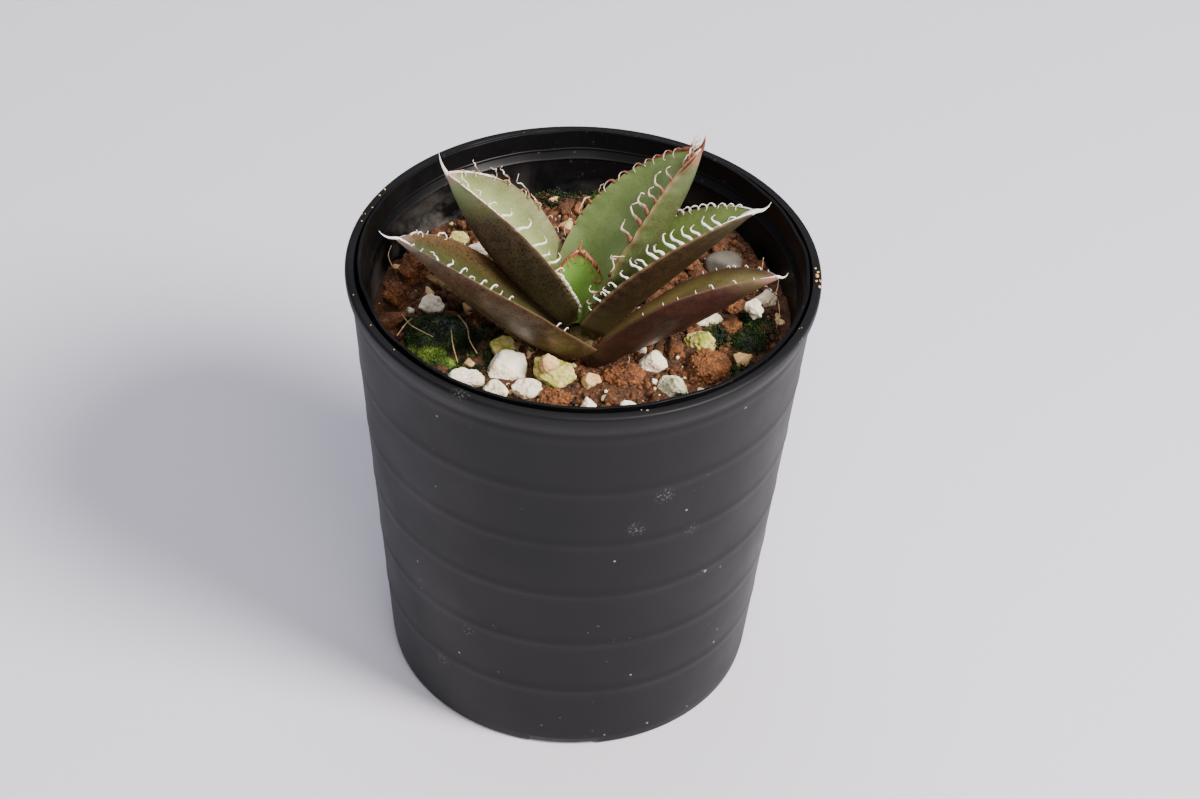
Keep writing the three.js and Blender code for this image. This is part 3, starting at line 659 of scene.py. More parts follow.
def makeNurseryPot():
    # a thin outline up the outside, over the lip and down the inside,
    # carried round the axis and waved at the top
    spec = nurseryPot
    stepTop = spec["top"] - spec["collarHeight"]
    stepFoot = stepTop - spec["stepHeight"]
    wall, collar, step = spec["wall"], spec["collar"], spec["step"]
    bead = spec["bead"]
    outline = [(0, spec["base"], 0), (spec["baseRadius"], spec["base"], 0.9), (step, stepFoot, 0.4),
               (collar - 0.45, stepTop, 0.4), (collar, spec["top"], 0.25),
               (collar - wall, spec["top"], 0.25),
               (collar - wall - 0.3, stepTop + 0.5, 0.15), (collar - wall - 0.3 - bead, stepTop + 0.3,
                                                            0.12),
               (collar - wall - 0.42, stepTop, 0.15), (step - wall, stepFoot + 0.5, 0.15),
               (step - wall - bead, stepFoot + 0.3, 0.12), (step - wall - 0.05, stepFoot, 0.2),
               (spec["baseRadius"] - wall + 0.05, spec["base"] + wall + 0.2, 0.8),
               (0, spec["base"] + wall + 0.2, 0)]
    profile = filleted(outline, 6, closed=False)
    # a few more rings down the walls, so that the film and the waves have somewhere to show
    cut = np.linspace(0, 1, 8)[1:-1, None]
    longest = np.argsort(-np.linalg.norm(np.diff(profile, axis=0), axis=1))[:4]
    pieces = []
    for k in range(len(profile) - 1):
        pieces.append(profile[k:k + 1])
        if k in longest:
            pieces.append(profile[k] + (profile[k + 1] - profile[k]) * cut)
    profile = np.concatenate(pieces + [profile[-1:]])
    angles = np.arange(spec["columns"]) * 2 * np.pi / spec["columns"]
    grid = turned(profile[1:-1], angles)
    # the thin lip is not true: slow waves in and out and up and down that grow towards the top edge
    ring = np.stack([np.cos(angles), np.sin(angles), 0 * angles], -1)
    wave = layeredNoise(ring * 10, 3.2, 5, 3)
    ripple = layeredNoise(ring * 10, 2.1, 9, 3)
    near = smoothStep(stepFoot - 6, spec["top"], grid[..., 2])
    grid[..., :2] *= (1 + near * spec["lipWave"] * wave / collar)[..., None]
    grid[..., 2] += 0.7 * near * spec["lipWave"] * ripple
    points, faces = closedSkin(grid)
    makePiece("nurseryPot", points, faces, materials["nursery_plastic"], ["nursery_pot"])


makeNurseryPot()
print("pots made")


# Lengths in mm and angles in degrees. rise is the slope at the base and at the tip, and turn is how far
# the leaf swings round. fold is how far its margins stand up as a share of the half width, and spine is
# the end spine's reach.
# A tooth is its share of the length, its habit and its size; near is the margin towards the camera side.
# farBrownAndShade is how far the face's far half turns to speckled brown, partly painted shade
leafLooks = {
    "front": {"face": "3a4420", "faceBloom": "4a522b", "faceSpeckle": 0.35, "under": "644a31",
              "underFlush": "513b25",
              "speckle": "1f1410", "underSpeckle": 0.9, "flush": 0.5, "farBrownAndShade": 0.85, "greenFrom": 0.8,
              "greenTip": 0.3, "paleBase": 0.35, "rim": "806449", "dryFrom": 0.86, "dryTip": "6f5a4b"},
}
leafLooks["purple"] = {**leafLooks["front"], "under": "47291f", "underFlush": "361d16", "face": "857c40",
                       "faceBloom": "9b8c52", "flush": 0.8, "farBrownAndShade": 0.3, "underSpeckle": 0.75,
                       "paleBase": 0.1, "rim": "71503d", "dryTip": "7f5947"}
leafLooks["back"] = {**leafLooks["front"], "face": "8b9c5b", "faceBloom": "a3b076", "faceSpeckle": 0.25,
                     "flush": 0.2, "farBrownAndShade": 0.55, "rim": "866a4c", "under": "5f4d3c",
                     "underFlush": "4e3e30",
                     "greenTip": 0.9, "greenFrom": 0.72, "dryFrom": 0.9, "dryTip": "a98b78"}
leafLooks["broad"] = {**leafLooks["back"], "face": "647742", "faceBloom": "7b8e57", "under": "56623a",
                      "underFlush": "535434", "speckle": "33331f", "underSpeckle": 0.5, "farBrownAndShade": 0.0,
                      "greenTip": 0.4, "dryTip": "8f5d44", "dryFrom": 0.84, "paleBase": 0.2}
leafLooks["side"] = {**leafLooks["back"], "face": "65783a", "faceBloom": "78894a", "under": "3e2d1e",
                     "underFlush": "302216", "greenTip": 0.1, "flush": 0.15, "farBrownAndShade": 0.0,
                     "dryFrom": 0.97}
leafLooks["young"] = {**leafLooks["back"], "face": "5f8436", "faceBloom": "749a44", "faceSpeckle": 0.0,
                      "under": "6f9244", "underFlush": "608238", "underSpeckle": 0.1, "dryTip": "7a4630",
                      "dryFrom": 0.8, "farBrownAndShade": 0.0, "paleBase": 0.1}

leaves = {
    "centre": {"base": (-0.5, -5, 83.2), "azimuth": 96, "turn": 0, "rise": (68, 84), "length": 15.2,
               "halfWidth": 4.6,
               "keel": 1.6, "fold": 0.35, "roll": -8, "widest": 0.55, "baseWidth": 0.75,
               "spine": (0.3, 0.4, 1.8),
               "spineRadius": 0.4, "bend": 0.1, "look": "young", "horn": "red", "near": 1,
               "nearTeeth": [(0.97, "drape", 2.6), (0.9, "hook", 2.4), (0.8, "hook", 2.8),
                             (0.5, "scallop", 1.0)],
               "farTeeth": [(0.96, "drape", 2.8), (0.88, "arch", 2.6), (0.8, "drape", 4.2),
                            (0.62, "ribbon", 3.0),
                            (0.4, "hook", 1.2)], "ridge": (0.6, 1.6)},
    "back_right": {"base": (-0.2, -4.3, 83.1), "azimuth": 40.7, "turn": -24.8, "rise": (45, 61.5),
                   "length": 41.2,
                   "halfWidth": 8.7, "keel": 4.6, "fold": 0.9, "roll": -8.5, "widest": 0.39,
                   "baseWidth": 0.68,
                   "spine": (0.5, 0, 3.2), "spineRadius": 0.6, "bend": 0.1, "look": "broad",
                   "horn": "brown",
                   "near": -1,
                   "nearTeeth": [(0.95, "lash", 5.0), (0.93, "lash", 6.0), (0.9, "lash", 4.6),
                                 (0.84, "ribbon", 3.0),
                                 (0.78, "ribbon", 4.0), (0.73, "ribbon", 3.4), (0.67, "ribbon", 4.6),
                                 (0.61, "ribbon", 4.4), (0.52, "ribbon", 5.2), (0.4, "swan", 1.6),
                                 (0.3, "curl", 5.0),
                                 (0.2, "swan", 2.6), (0.13, "swan", 1.4)],
                   "farTeeth": [(0.96, "lash", 3.0), (0.92, "arch", 2.4), (0.88, "arch", 2.2),
                                (0.83, "arch", 2.0),
                                (0.79, "arch", 1.9), (0.74, "arch", 2.2), (0.67, "arch", 2.4),
                                (0.6, "arch", 2.8),
                                (0.52, "curl", 2.0), (0.46, "drape", 3.6), (0.4, "curl", 3.0),
                                (0.34, "drape", 3.4)],
                   "ridge": (0.72, 1.4)},
    "back_left": {"base": (-1.1, -4.1, 83.2), "azimuth": 173.4, "turn": -0.8, "rise": (38, 63.6),
                  "length": 39.9,
                  "halfWidth": 10, "keel": 2.5, "fold": 0.83, "roll": 14.8, "widest": 0.48,
                  "baseWidth": 0.36,
                  "spine": (-1.5, 0, 4.8), "spineRadius": 0.55, "bend": 0.12, "look": "back",
                  "horn": "ivory",
                  "near": 1,
                  "nearTeeth": [(0.95, "curl", 2.8), (0.92, "lash", 3.0), (0.87, "curl", 2.2),
                                (0.83, "hook", 1.8),
                                (0.76, "swan", 2.5), (0.67, "swan", 2.9), (0.555, "swan", 2.8),
                                (0.48, "swan", 1.5),
                                (0.425, "swan", 2.3), (0.36, "hook", 1.6), (0.325, "scallop", 2.4),
                                (0.28, "scallop", 2.2), (0.24, "scallop", 1.9), (0.2, "scallop", 1.8),
                                (0.165, "scallop", 1.7), (0.13, "scallop", 1.5), (0.095, "scallop", 1.4),
                                (0.06, "scallop", 1.2)],
                  "farTeeth": [(0.95, "arch", 2.0), (0.9, "arch", 1.6), (0.86, "lash", 2.8),
                               (0.8, "arch", 1.5),
                               (0.77, "curl", 2.4), (0.72, "arch", 1.5), (0.68, "lash", 4.6),
                               (0.61, "arch", 1.6),
                               (0.55, "lash", 4.0), (0.5, "arch", 1.5), (0.46, "lash", 3.2),
                               (0.4, "hook", 1.0),
                               (0.34, "arch", 1.4), (0.27, "hook", 1.2)],
                  "ridge": (0.6, 0.9)},
    "right": {"base": (1, -6.1, 82), "azimuth": 3, "turn": -5.5, "rise": (50.5, 39.4), "length": 42.4,
              "halfWidth": 9.7, "keel": 2.65, "fold": 0.58, "roll": -13.5, "widest": 0.39,
              "baseWidth": 0.55,
              "spine": (2.8, 0, 2.2), "spineRadius": 0.6, "bend": 0.3, "look": "side", "horn": "white",
              "near": -1,
              "nearTeeth": [(0.2, "point", 0.9), (0.27, "swan", 1.5), (0.31, "hook", 1.5),
                            (0.33, "swan", 1.5),
                            (0.375, "hook", 1.7), (0.44, "swan", 1.7), (0.51, "swan", 2.6),
                            (0.54, "hook", 2.6),
                            (0.595, "swan", 2.9), (0.625, "swan", 2.7), (0.675, "swan", 2.8),
                            (0.71, "swan", 2.7),
                            (0.75, "swan", 2.6), (0.785, "swan", 2.5), (0.835, "swan", 2.4),
                            (0.87, "swan", 2.3),
                            (0.93, "arch", 1.6)],
              "farTeeth": [(0.56, "curl", 3.0), (0.61, "arch", 2.4), (0.65, "arch", 2.4),
                           (0.69, "arch", 2.2),
                           (0.73, "arch", 2.1), (0.77, "arch", 2.0), (0.81, "arch", 2.0),
                           (0.86, "arch", 1.8),
                           (0.9, "arch", 1.7), (0.94, "arch", 1.5)], "ridge": (0.84, 1.5)},
    "front_right": {"base": (1.6, -12.6, 79.6), "azimuth": -5.4, "turn": -3.3, "rise": (36.2, 38.2),
                    "length": 42.6,
                    "halfWidth": 9, "keel": 1.7, "fold": 0.59, "roll": -22.6, "widest": 0.53,
                    "baseWidth": 0.46,
                    "spine": (1.9, 0, 0.9), "spineRadius": 0.36, "bend": 0.45, "look": "purple",
                    "horn": "white",
                    "near": -1,
                    "nearTeeth": [(0.45, "point", 0.35), (0.56, "point", 0.45), (0.63, "point", 0.4),
                                  (0.71, "point", 0.5), (0.78, "hook", 0.9), (0.865, "hook", 0.7),
                                  (0.93, "point", 0.5)],
                    "farTeeth": [(0.6, "point", 0.4), (0.67, "point", 0.4), (0.74, "hook", 0.6),
                                 (0.77, "hook", 0.6),
                                 (0.836, "hook", 0.6), (0.907, "hook", 0.6), (0.95, "point", 0.4)],
                    "ridge": (0.95, 0.5)},
    "front_left": {"base": (-2.2, -9.2, 78.8), "azimuth": 205.9, "turn": -13.5, "rise": (42.8, 48.9),
                   "length": 47.7,
                   "halfWidth": 11.4, "keel": 1.9, "fold": 0.5, "roll": 10, "widest": 0.41,
                   "baseWidth": 0.9,
                   "spine": (-3.4, 0, 1.5), "spineRadius": 0.34, "bend": 0.3, "look": "front",
                   "horn": "white",
                   "near": 1,
                   "nearTeeth": [(0.3, "hook", 0.9), (0.345, "hook", 1.0), (0.59, "hook", 0.9),
                                 (0.63, "point", 0.8),
                                 (0.67, "hook", 1.5), (0.71, "hook", 1.4), (0.755, "arch", 1.3),
                                 (0.79, "hook", 1.5),
                                 (0.835, "swan", 1.4), (0.87, "lash", 2.4), (0.93, "point", 0.6),
                                 (0.96, "hook", 0.6)],
                   "farTeeth": [(0.5, "point", 0.5), (0.6, "point", 0.6), (0.7, "point", 0.6),
                                (0.77, "arch", 2.2),
                                (0.84, "point", 0.6), (0.89, "arch", 1.4), (0.93, "swan", 1.3)],
                   "ridge": (0.96, 0.3)},
}

# The way a tooth goes, in shares of its size: towards the leaf's tip, out from the margin, up from the face
toothHabits = {
    "swan": [(0, -0.02, -0.1), (-0.02, 0, 0.14), (-0.12, -0.04, 0.36), (-0.28, -0.1, 0.56),
             (-0.3, -0.18, 0.76),
             (-0.14, -0.24, 0.9), (0.08, -0.24, 0.94)],
    "hook": [(0, -0.02, -0.1), (0.02, 0.04, 0.16), (0.06, 0.06, 0.42), (-0.02, 0.04, 0.68), (-0.24, 0, 0.8),
             (-0.44, -0.06, 0.72), (-0.5, -0.1, 0.52)],
    "arch": [(0, -0.04, -0.08), (0.04, 0.04, 0.16), (-0.08, 0.08, 0.36), (-0.3, 0.08, 0.44),
             (-0.56, 0.05, 0.4),
             (-0.78, 0.02, 0.26), (-0.88, 0, 0.06)],
    "curl": [(0, -0.05, -0.06), (0.06, 0.08, 0.12), (0.2, 0.18, 0.26), (0.42, 0.2, 0.26), (0.62, 0.12, 0.4),
             (0.8, 0.08, 0.28), (0.94, 0.14, 0.12)],
    "lash": [(0, -0.04, -0.04), (0.16, 0, 0.06), (0.34, -0.04, 0.12), (0.52, -0.03, 0.1), (0.7, 0.02, 0.16),
             (0.86, 0.04, 0.12), (1.0, 0, 0.2)],
    "ribbon": [(-0.12, 0.02, -0.08), (0.0, 0, 0.06), (0.06, -0.16, 0.16), (-0.02, -0.4, 0.22),
               (0.02, -0.6, 0.26),
               (0.2, -0.68, 0.3), (0.44, -0.64, 0.3)],
    "drape": [(0, -0.02, -0.05), (0.1, 0.08, 0.12), (0.14, 0.1, 0.32), (0.02, 0.08, 0.46),
              (-0.28, 0.04, 0.46),
              (-0.6, 0.02, 0.3), (-0.86, -0.06, 0.1)],
    "scallop": [(-0.46, -0.04, -0.04), (-0.34, 0.02, 0.1), (-0.14, 0.06, 0.2), (0.06, 0.06, 0.22),
                (0.26, 0.04, 0.14),
                (0.4, 0, 0.04), (0.48, -0.05, -0.08)],
    "point": [(0, -0.02, -0.12), (0, 0.02, 0.12), (0.02, 0.06, 0.3), (0.05, 0.08, 0.48), (0.1, 0.1, 0.66),
              (0.18, 0.1, 0.84), (0.28, 0.08, 1.0)],
}
hornColours = {"white": ("d9cdbf", "fbf7f1", "eadccb"), "ivory": ("94725a", "f2e8da", "dcc5ac"),
               "brown": ("74442b", "dfc6ae", "f6efe6"), "red": ("6b3322", "9a5a3e", "d9b492")}
# how far up each kind of horn stays in its root colour: near teeth, far teeth, end spine, rim
hornTones = {"white": (0.0, 0.1, -0.1, -0.2), "ivory": (0.0, 0.4, 0.25, 0.35),
             "brown": (0.25, 0.3, 0.75, 0.9),
             "red": (0.1, 0.1, 0.3, 0.5)}
toothHefts = {"curl": 0.5, "lash": 0.5, "arch": 0.62, "drape": 0.6, "scallop": 1.3, "ribbon": 0.85,
              "point": 0.8,
              "hook": 0.8}
leafGrain = {"stations": 150, "around": 72, "toothStations": 20, "channel": 0.55, "least": 0.42}


def leafHeading(leaf, share):
    # which way the leaf runs at a share of its length: bearing and rise change evenly from base to tip
    azimuth = np.radians(leaf["azimuth"] + leaf["turn"] * share)
    rise = np.radians(leaf["rise"][0] + (leaf["rise"][1] - leaf["rise"][0]) * share)
    along = np.stack([np.cos(rise) * np.cos(azimuth), np.cos(rise) * np.sin(azimuth), np.sin(rise)], -1)
    return along, np.stack([-np.sin(azimuth), np.cos(azimuth), 0 * azimuth], -1)


def leafFrames(leaf, share):
    # the midrib is the heading summed along the length; side and up are turned about it by the roll
    fine = np.linspace(0, 1, 241)
    along, _ = leafHeading(leaf, fine)
    steps = (along[1:] + along[:-1]) / 2 * leaf["length"] / (len(fine) - 1)
    midrib = np.array(leaf["base"], float) + np.vstack([np.zeros(3), np.cumsum(steps, 0)])
    at = np.stack([np.interp(share, fine, midrib[:, k]) for k in range(3)], -1)
    along, level = leafHeading(leaf, share)
    raised = np.cross(along, level)
    roll = np.radians(leaf["roll"])
    side, up = level * np.cos(roll) + raised * np.sin(roll), raised * np.cos(roll) - level * np.sin(roll)
    return at, along, side, up


def halfWidthAt(leaf, share):
    # swells as a quarter sine to the widest place, then rounds in to the tip
    widest = leaf["widest"]
    swelling = leaf["baseWidth"] + (1 - leaf["baseWidth"]) * np.sin(np.minimum(share / widest, 1) * np.pi
                                                                    / 2)
    past = np.clip((share - widest) / (1 - widest), 0, 1)
    width = leaf["halfWidth"] * np.where(share < widest, swelling, (1 - past ** 1.9) ** 0.85)
    rounded = 0.3 + 0.7 * smoothStep(-0.01, 0.1, share)
    return np.maximum(width * rounded, leafGrain["least"])


def keelAt(leaf, share):
    # the keel's depth: full up to the widest place,
    # then rounding away to the tip, with a little more at the base
    widest = leaf["widest"]
    past = np.clip((share - widest) / (1 - widest), 0, 1)
    depth = leaf["keel"] * (0.85 * (1 - past ** 1.6) ** 0.8 + 0.15 * (1 - share))
    return np.maximum(depth, leafGrain["least"])


def toothSwell(leaf, share, teeth):
    # each tooth stands on a small swelling of the margin
    places = np.array([t[0] for t in teeth])
    sizes = np.array([t[2] for t in teeth])
    gap = (share[:, None] - places) * leaf["length"]
    return (0.13 * sizes * np.exp(-(gap / (0.3 + 0.22 * sizes)) ** 2)).sum(1)


def leafSkinGrid(leaf):
    # rings along the midrib: a rounded keel below, and above a channel that dips between the two margins
    t = np.linspace(0, 1, leafGrain["stations"])
    share = t * (1.55 - 0.55 * t)
    at, _, side, up = leafFrames(leaf, share)
    width = halfWidthAt(leaf, share)
    near, far = toothSwell(leaf, share, leaf["nearTeeth"]), toothSwell(leaf, share, leaf["farTeeth"])
    plus, minus = (near, far) if leaf["near"] > 0 else (far, near)
    angle = np.arange(leafGrain["around"]) * 2 * np.pi / leafGrain["around"]
    cos, sin = np.cos(angle)[None], np.sin(angle)[None]
    w = width[:, None]
    edge = np.where(cos > 0, plus[:, None], minus[:, None]) * np.abs(cos) ** 6
    x = np.sign(cos) * (w * np.abs(cos) ** 0.9 + edge)
    below = leaf["fold"] * w * np.abs(cos) ** 1.5 - keelAt(leaf, share)[:, None] * np.abs(sin) ** 1.15
    above = leaf["fold"] * w * (1 - leafGrain["channel"] * (1 - cos ** 2)) + 0.12 * np.abs(sin)
    z = np.where(sin >= 0, below, above)
    grid = at[:, None] + side[:, None] * x[..., None] + up[:, None] * z[..., None]
    slow = layeredNoise(grid, 9.0, 3, 3)[..., None] * 0.16 * smoothStep(0, 3, w)[..., None]
    grid = grid + up[:, None] * slow
    inward = w * (1 - np.abs(cos) ** 0.9) + 0 * z
    layers = {"along": share[:, None] + 0 * z, "edge": inward, "upper": (sin < 0) + 0 * z,
              "across": leaf["near"] * cos + 0 * z}
    return grid, layers


def toothTubes(leaf, teeth, hand):
    # every tooth of one margin: its habit's path set out from the margin,
    # a flattened tube that thins to a point
    share = np.array([t[0] for t in teeth])
    size = np.array([t[2] for t in teeth]) * rng.uniform(0.9, 1.12, len(teeth))
    habit = np.array([toothHabits[t[1]] for t in teeth], float)
    habit = habit + rng.normal(0, 0.035, habit.shape) * np.linspace(0.2, 1.6, habit.shape[1])[None, :, None]
    at, along, side, up = leafFrames(leaf, share)
    width = halfWidthAt(leaf, share)
    root = at + side * (hand * width)[:, None] + up * (leaf["fold"] * width)[:, None]
    axes = np.stack([along, side * hand, up], 1)
    control = root[:, None] + np.einsum("nkj,njc->nkc", habit * size[:, None, None], axes)
    paths = curveThrough(control, leafGrain["toothStations"])
    reach = np.linspace(0, 1, leafGrain["toothStations"])[None]
    heft = np.array([toothHefts.get(t[1], 1.0) for t in teeth])[:, None]
    broad = 0.235 * heft * size[:, None] ** 0.6 * (1 - 0.42 * smoothStep(0.02, 0.35, reach)
                                                  - 0.4 * smoothStep(0.45, 1.0, reach))
    wobble = 1 + 0.2 * np.sin(reach * 11 + rng.uniform(0, 6, (len(teeth), 1)))
    across = np.broadcast_to(along[:, None], paths.shape)
    points, faces, value = tubes(paths, across, np.maximum(broad * wobble, 0.06),
                                 np.maximum(0.6 * broad, 0.05))
    return points, faces, value


def spineTube(leaf):
    # the end spine: a round horn that grows out of the last of the leaf and bends a little upwards
    share = np.array([0.93, 0.97, 1.0])
    at, _, side, up = leafFrames(leaf, share)
    lift = leaf["fold"] * halfWidthAt(leaf, share) * 0.35
    foot = at + up * lift[:, None]
    reach = np.array(leaf["spine"], float)
    bend = np.linalg.norm(reach) * leaf["bend"]
    beyond = [foot[-1] + reach * s + up[-1] * bend * (s - 1) * s * 2 for s in (0.35, 0.7, 1.0)]
    path = curveThrough(np.concatenate([foot, beyond])[None], 26)
    s = np.linspace(0, 1, 26)[None]
    radius = leaf["spineRadius"] * (1 - smoothStep(0.05, 1.0, s)) ** 0.8 * smoothStep(-0.3, 0.25, s) + 0.05
    return tubes(path, np.broadcast_to(side[-1], path.shape), radius, radius * 0.85, 12)


def ridgeTubes(leaf):
    # the horny rim that runs down both margins from the spine, thinning away
    start, heft = leaf["ridge"]
    share = np.linspace(start, 0.995, 40)
    at, _, side, up = leafFrames(leaf, share)
    width = halfWidthAt(leaf, share)
    paths = np.stack([at + side * (hand * width)[:, None] + up * (leaf["fold"] * width + 0.03)[:, None]
                      for hand in (-1, 1)])
    ragged = 1 + 0.7 * layeredNoise(paths, 1.3, 21, 2)
    radius = 0.2 * heft * smoothStep(start, start + 0.25, share)[None] * ragged + 0.03
    return tubes(paths, np.broadcast_to(side[None], paths.shape), radius, radius * 0.8)


def makeLeaf(key, leaf):
    # one leaf in two pieces: the blade, and its teeth, end spine and horny rim together
    grid, layers = leafSkinGrid(leaf)
    points, faces = closedSkin(grid)
    ends = {"along": [0, 1], "edge": [3, 0.3], "upper": [0, 0.5], "across": [0, 0]}
    attributes = {name: np.concatenate([layers[name].ravel(), ends[name]]) for name in layers}
    node = "leaf_" + key
    skin = leafSkin("agave skin " + key.replace("_", " "), leafLooks[leaf["look"]])
    makePiece(node + "_blade", points, faces, skin, [node], attributes)
    parts = [toothTubes(leaf, leaf["nearTeeth"], leaf["near"]),
             toothTubes(leaf, leaf["farTeeth"], -leaf["near"]),
             spineTube(leaf), ridgeTubes(leaf)]
    tones = np.concatenate([np.full(len(part[2]), tone) for part, tone in
                            zip(parts, hornTones[leaf["horn"]])])
    points, faces, reach = joined(parts)
    horn = hornSkin("agave horn " + key.replace("_", " "), *hornColours[leaf["horn"]])
    makePiece(node + "_teeth", points, faces, horn, [node], {"reach": reach, "tone": tones})


for key, leaf in leaves.items():
    makeLeaf(key, leaf)
print("leaves made")


soilBed = {"level": 80.4, "tilt": 0.02, "radius": 40.0, "foot": 6.3, "footRadius": 33.2, "rings": 150,
           "columns": 220,
           "centreRadius": 0.25, "wallDrop": 6, "edgeInset": 0.6}


def soilTop(x, y):
    # a shallow uneven bed: a slight slope, slow hollows and finer lumps
    spots = np.stack([x, y, 0 * x], -1)
    return soilBed["level"] + soilBed["tilt"] * x + 1.1 * layeredNoise(spots, 7.0, 31, 4)


def makeSoilBed():
    # rings from the middle of the bed to its edge, then down the wall and back in under it
    spec = soilBed
    radius = np.concatenate([np.linspace(spec["centreRadius"], spec["radius"], spec["rings"]),
                             [spec["radius"] - spec["edgeInset"], spec["footRadius"], spec["footRadius"]
                              * 0.5]])
    height = np.concatenate([np.zeros(spec["rings"]), [-spec["wallDrop"], 0, 0]])
    angles = np.arange(spec["columns"]) * 2 * np.pi / spec["columns"]
    grid = turned(np.stack([radius, height], -1), angles)
    top = grid[:spec["rings"]]
    spots = np.stack([top[..., 0], top[..., 1], 0 * top[..., 0]], -1)
    crumbs = 0.5 * (0.6 - cellDistance(spots, 1.3, 3)) + 0.25 * (0.6 - cellDistance(spots, 0.55, 8))
    top[..., 2] = soilTop(top[..., 0], top[..., 1]) + crumbs
    grid[spec["rings"], :, 2] = spec["level"] - spec["wallDrop"]
    grid[spec["rings"] + 1:, :, 2] = spec["foot"]
    points, faces = closedSkin(grid)
    shade = np.zeros(len(points))
    makePiece("soilBed", points, faces, materials["soil"], ["soil"], {"shade": shade})


makeSoilBed()

crown = np.array([0.0, -6.5])
leafSpots = np.concatenate([leafFrames(leaf, np.linspace(0, 1, 40))[0] for leaf in leaves.values()])


def namedStones():
    # the middle and half width of every stone and moss cushion of the record, seen from above
    found = []
    for entry in frame["record"]["subparts"]:
        if entry["material_slot"] in [*stoneLooks, "moss"] and entry["node"] != "soil":
            low, high = (np.array(corner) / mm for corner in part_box(entry["node"]))
            found.append([*((low + high) / 2)[:2], (high - low)[:2].mean() / 2])
    return np.array(found)


stoneRounds = namedStones()


# How loose grains lie: the farthest out they go, how far they rise,
# and the room they leave round named stones
scatter = {"rim": 39.2, "rise": 0.32, "bigFrom": 1.3, "bigGap": 0.42, "smallGap": 0.1, "frontShift": 0.7}


def scatterSpots(count, size, keepOut):
    # even random places on the bed that stay clear of the leaves, of the named stones and of the wall
    radius = (scatter["rim"] - size / 2) * np.sqrt(rng.random(count))
    angle = rng.uniform(0, 2 * np.pi, count)
    x, y = radius * np.cos(angle), radius * np.sin(angle)
    z = soilTop(x, y) + size * rng.uniform(0.0, scatter["rise"], count)
    spots = np.stack([x, y, z], -1)
    gap = np.linalg.norm(spots[:, None] - leafSpots[None], axis=-1).min(1)
    middles = stoneRounds[None, :, :2] - [0, scatter["frontShift"]]
    beside = np.linalg.norm(spots[:, None, :2] - middles, axis=-1) - stoneRounds[None, :, 2]
    room = np.where(size > scatter["bigFrom"], scatter["bigGap"], scatter["smallGap"]) * size
    keep = (gap > size / 2 + keepOut) & (beside.min(1) > room)
    return spots[keep], size[keep]


# A loose grain's shape: its flat cuts and their wear, how much narrower than long, and its rough surface
grainHabit = {"cuts": 11, "wear": 15, "spread": 0.38, "stretch": (0.78, 1.2), "flat": 0.9, "roughSize": 0.9}


def makeGrains(name, slot, level, count, sizes, keepOut, roughness):
    # loose grains: each a broken stone on its own spot, all in one piece
    directions, triangles = ballMesh(level)
    size = np.exp(rng.uniform(np.log(sizes[0]), np.log(sizes[1]), count))
    spots, size = scatterSpots(count, size, keepOut)
    count = len(size)
    habit = grainHabit
    radius = brokenStone(directions, count, habit["cuts"], habit["wear"], habit["spread"])
    shape = directions[None] * radius[..., None] * (size / 2)[:, None, None]
    shape = shape * rng.uniform(*habit["stretch"], (count, 1, 3)) * np.array([1, 1, habit["flat"]])
    rough = layeredNoise(shape + 50 * spots[:, None], habit["roughSize"], 0, 3)
    shape = shape * (1 + roughness * rough)[..., None]
    points = (shape + spots[:, None]).reshape(-1, 3)
    faces = [(triangles[None] + (np.arange(count) * len(directions))[:, None, None]).reshape(-1, 3)]
    shade = np.repeat(rng.random(count), len(directions))
    makePiece(name, points, faces, materials[slot], (), {"shade": shade})


# Each kind: material, fineness, count, smallest and largest size, room from the leaves, roughness
looseGrains = {
    "grainsDark": ("soil", 2, 2450, (0.45, 2.0), 0.8, 0.2),
    "grainsBrown": ("akadama", 2, 2450, (0.4, 2.2), 0.8, 0.2),
    "grainsTan": ("kanuma", 2, 330, (0.35, 1.5), 0.8, 0.2),
    "grainsWhite": ("pumice", 2, 240, (0.35, 1.3), 0.8, 0.2),
    "lumpsDark": ("soil", 3, 170, (2.0, 4.2), 2.2, 0.26),
    "lumpsBrown": ("akadama", 3, 210, (2.2, 4.8), 2.2, 0.26),
    "lumpsTan": ("kanuma", 3, 30, (1.8, 3.0), 2.2, 0.12),
    "lumpsWhite": ("pumice", 3, 30, (1.6, 2.8), 2.2, 0.12),
}
for grainName, kind in looseGrains.items():
    makeGrains(grainName, *kind)


# Small stones set one by one: x, y, height of the middle above the bed, size
smallStones = [(32.6, -3.0, 5.0, 3.4), (1.7, -27.2, 1.5, 3.6), (9.3, -26.8, 1.4, 3.0)]


def makeSmallStones(name, slot, spots):
    # each is a broken stone with a rough surface, carried to its place over the bed
    directions, triangles = ballMesh(4)
    spots = np.array(spots, float)
    radius = brokenStone(directions, len(spots), 14, 14, 0.36)
    shape = directions[None] * radius[..., None] * (spots[:, 3] / 2)[:, None, None]
    shape = shape * (1 + 0.16 * layeredNoise(shape + 40 * spots[:, None, :3], 0.9, 6, 3))[..., None]
    middle = np.stack([spots[:, 0], spots[:, 1], soilTop(spots[:, 0], spots[:, 1]) + spots[:, 2]], -1)
    points = (shape + middle[:, None]).reshape(-1, 3)
    faces = [(triangles[None] + (np.arange(len(spots)) * len(directions))[:, None, None]).reshape(-1, 3)]
    makePiece(name, points, faces, materials[slot], (), {"shade": np.zeros(len(points))})


makeSmallStones("smallPumice", "pumice", smallStones)
print("soil made")


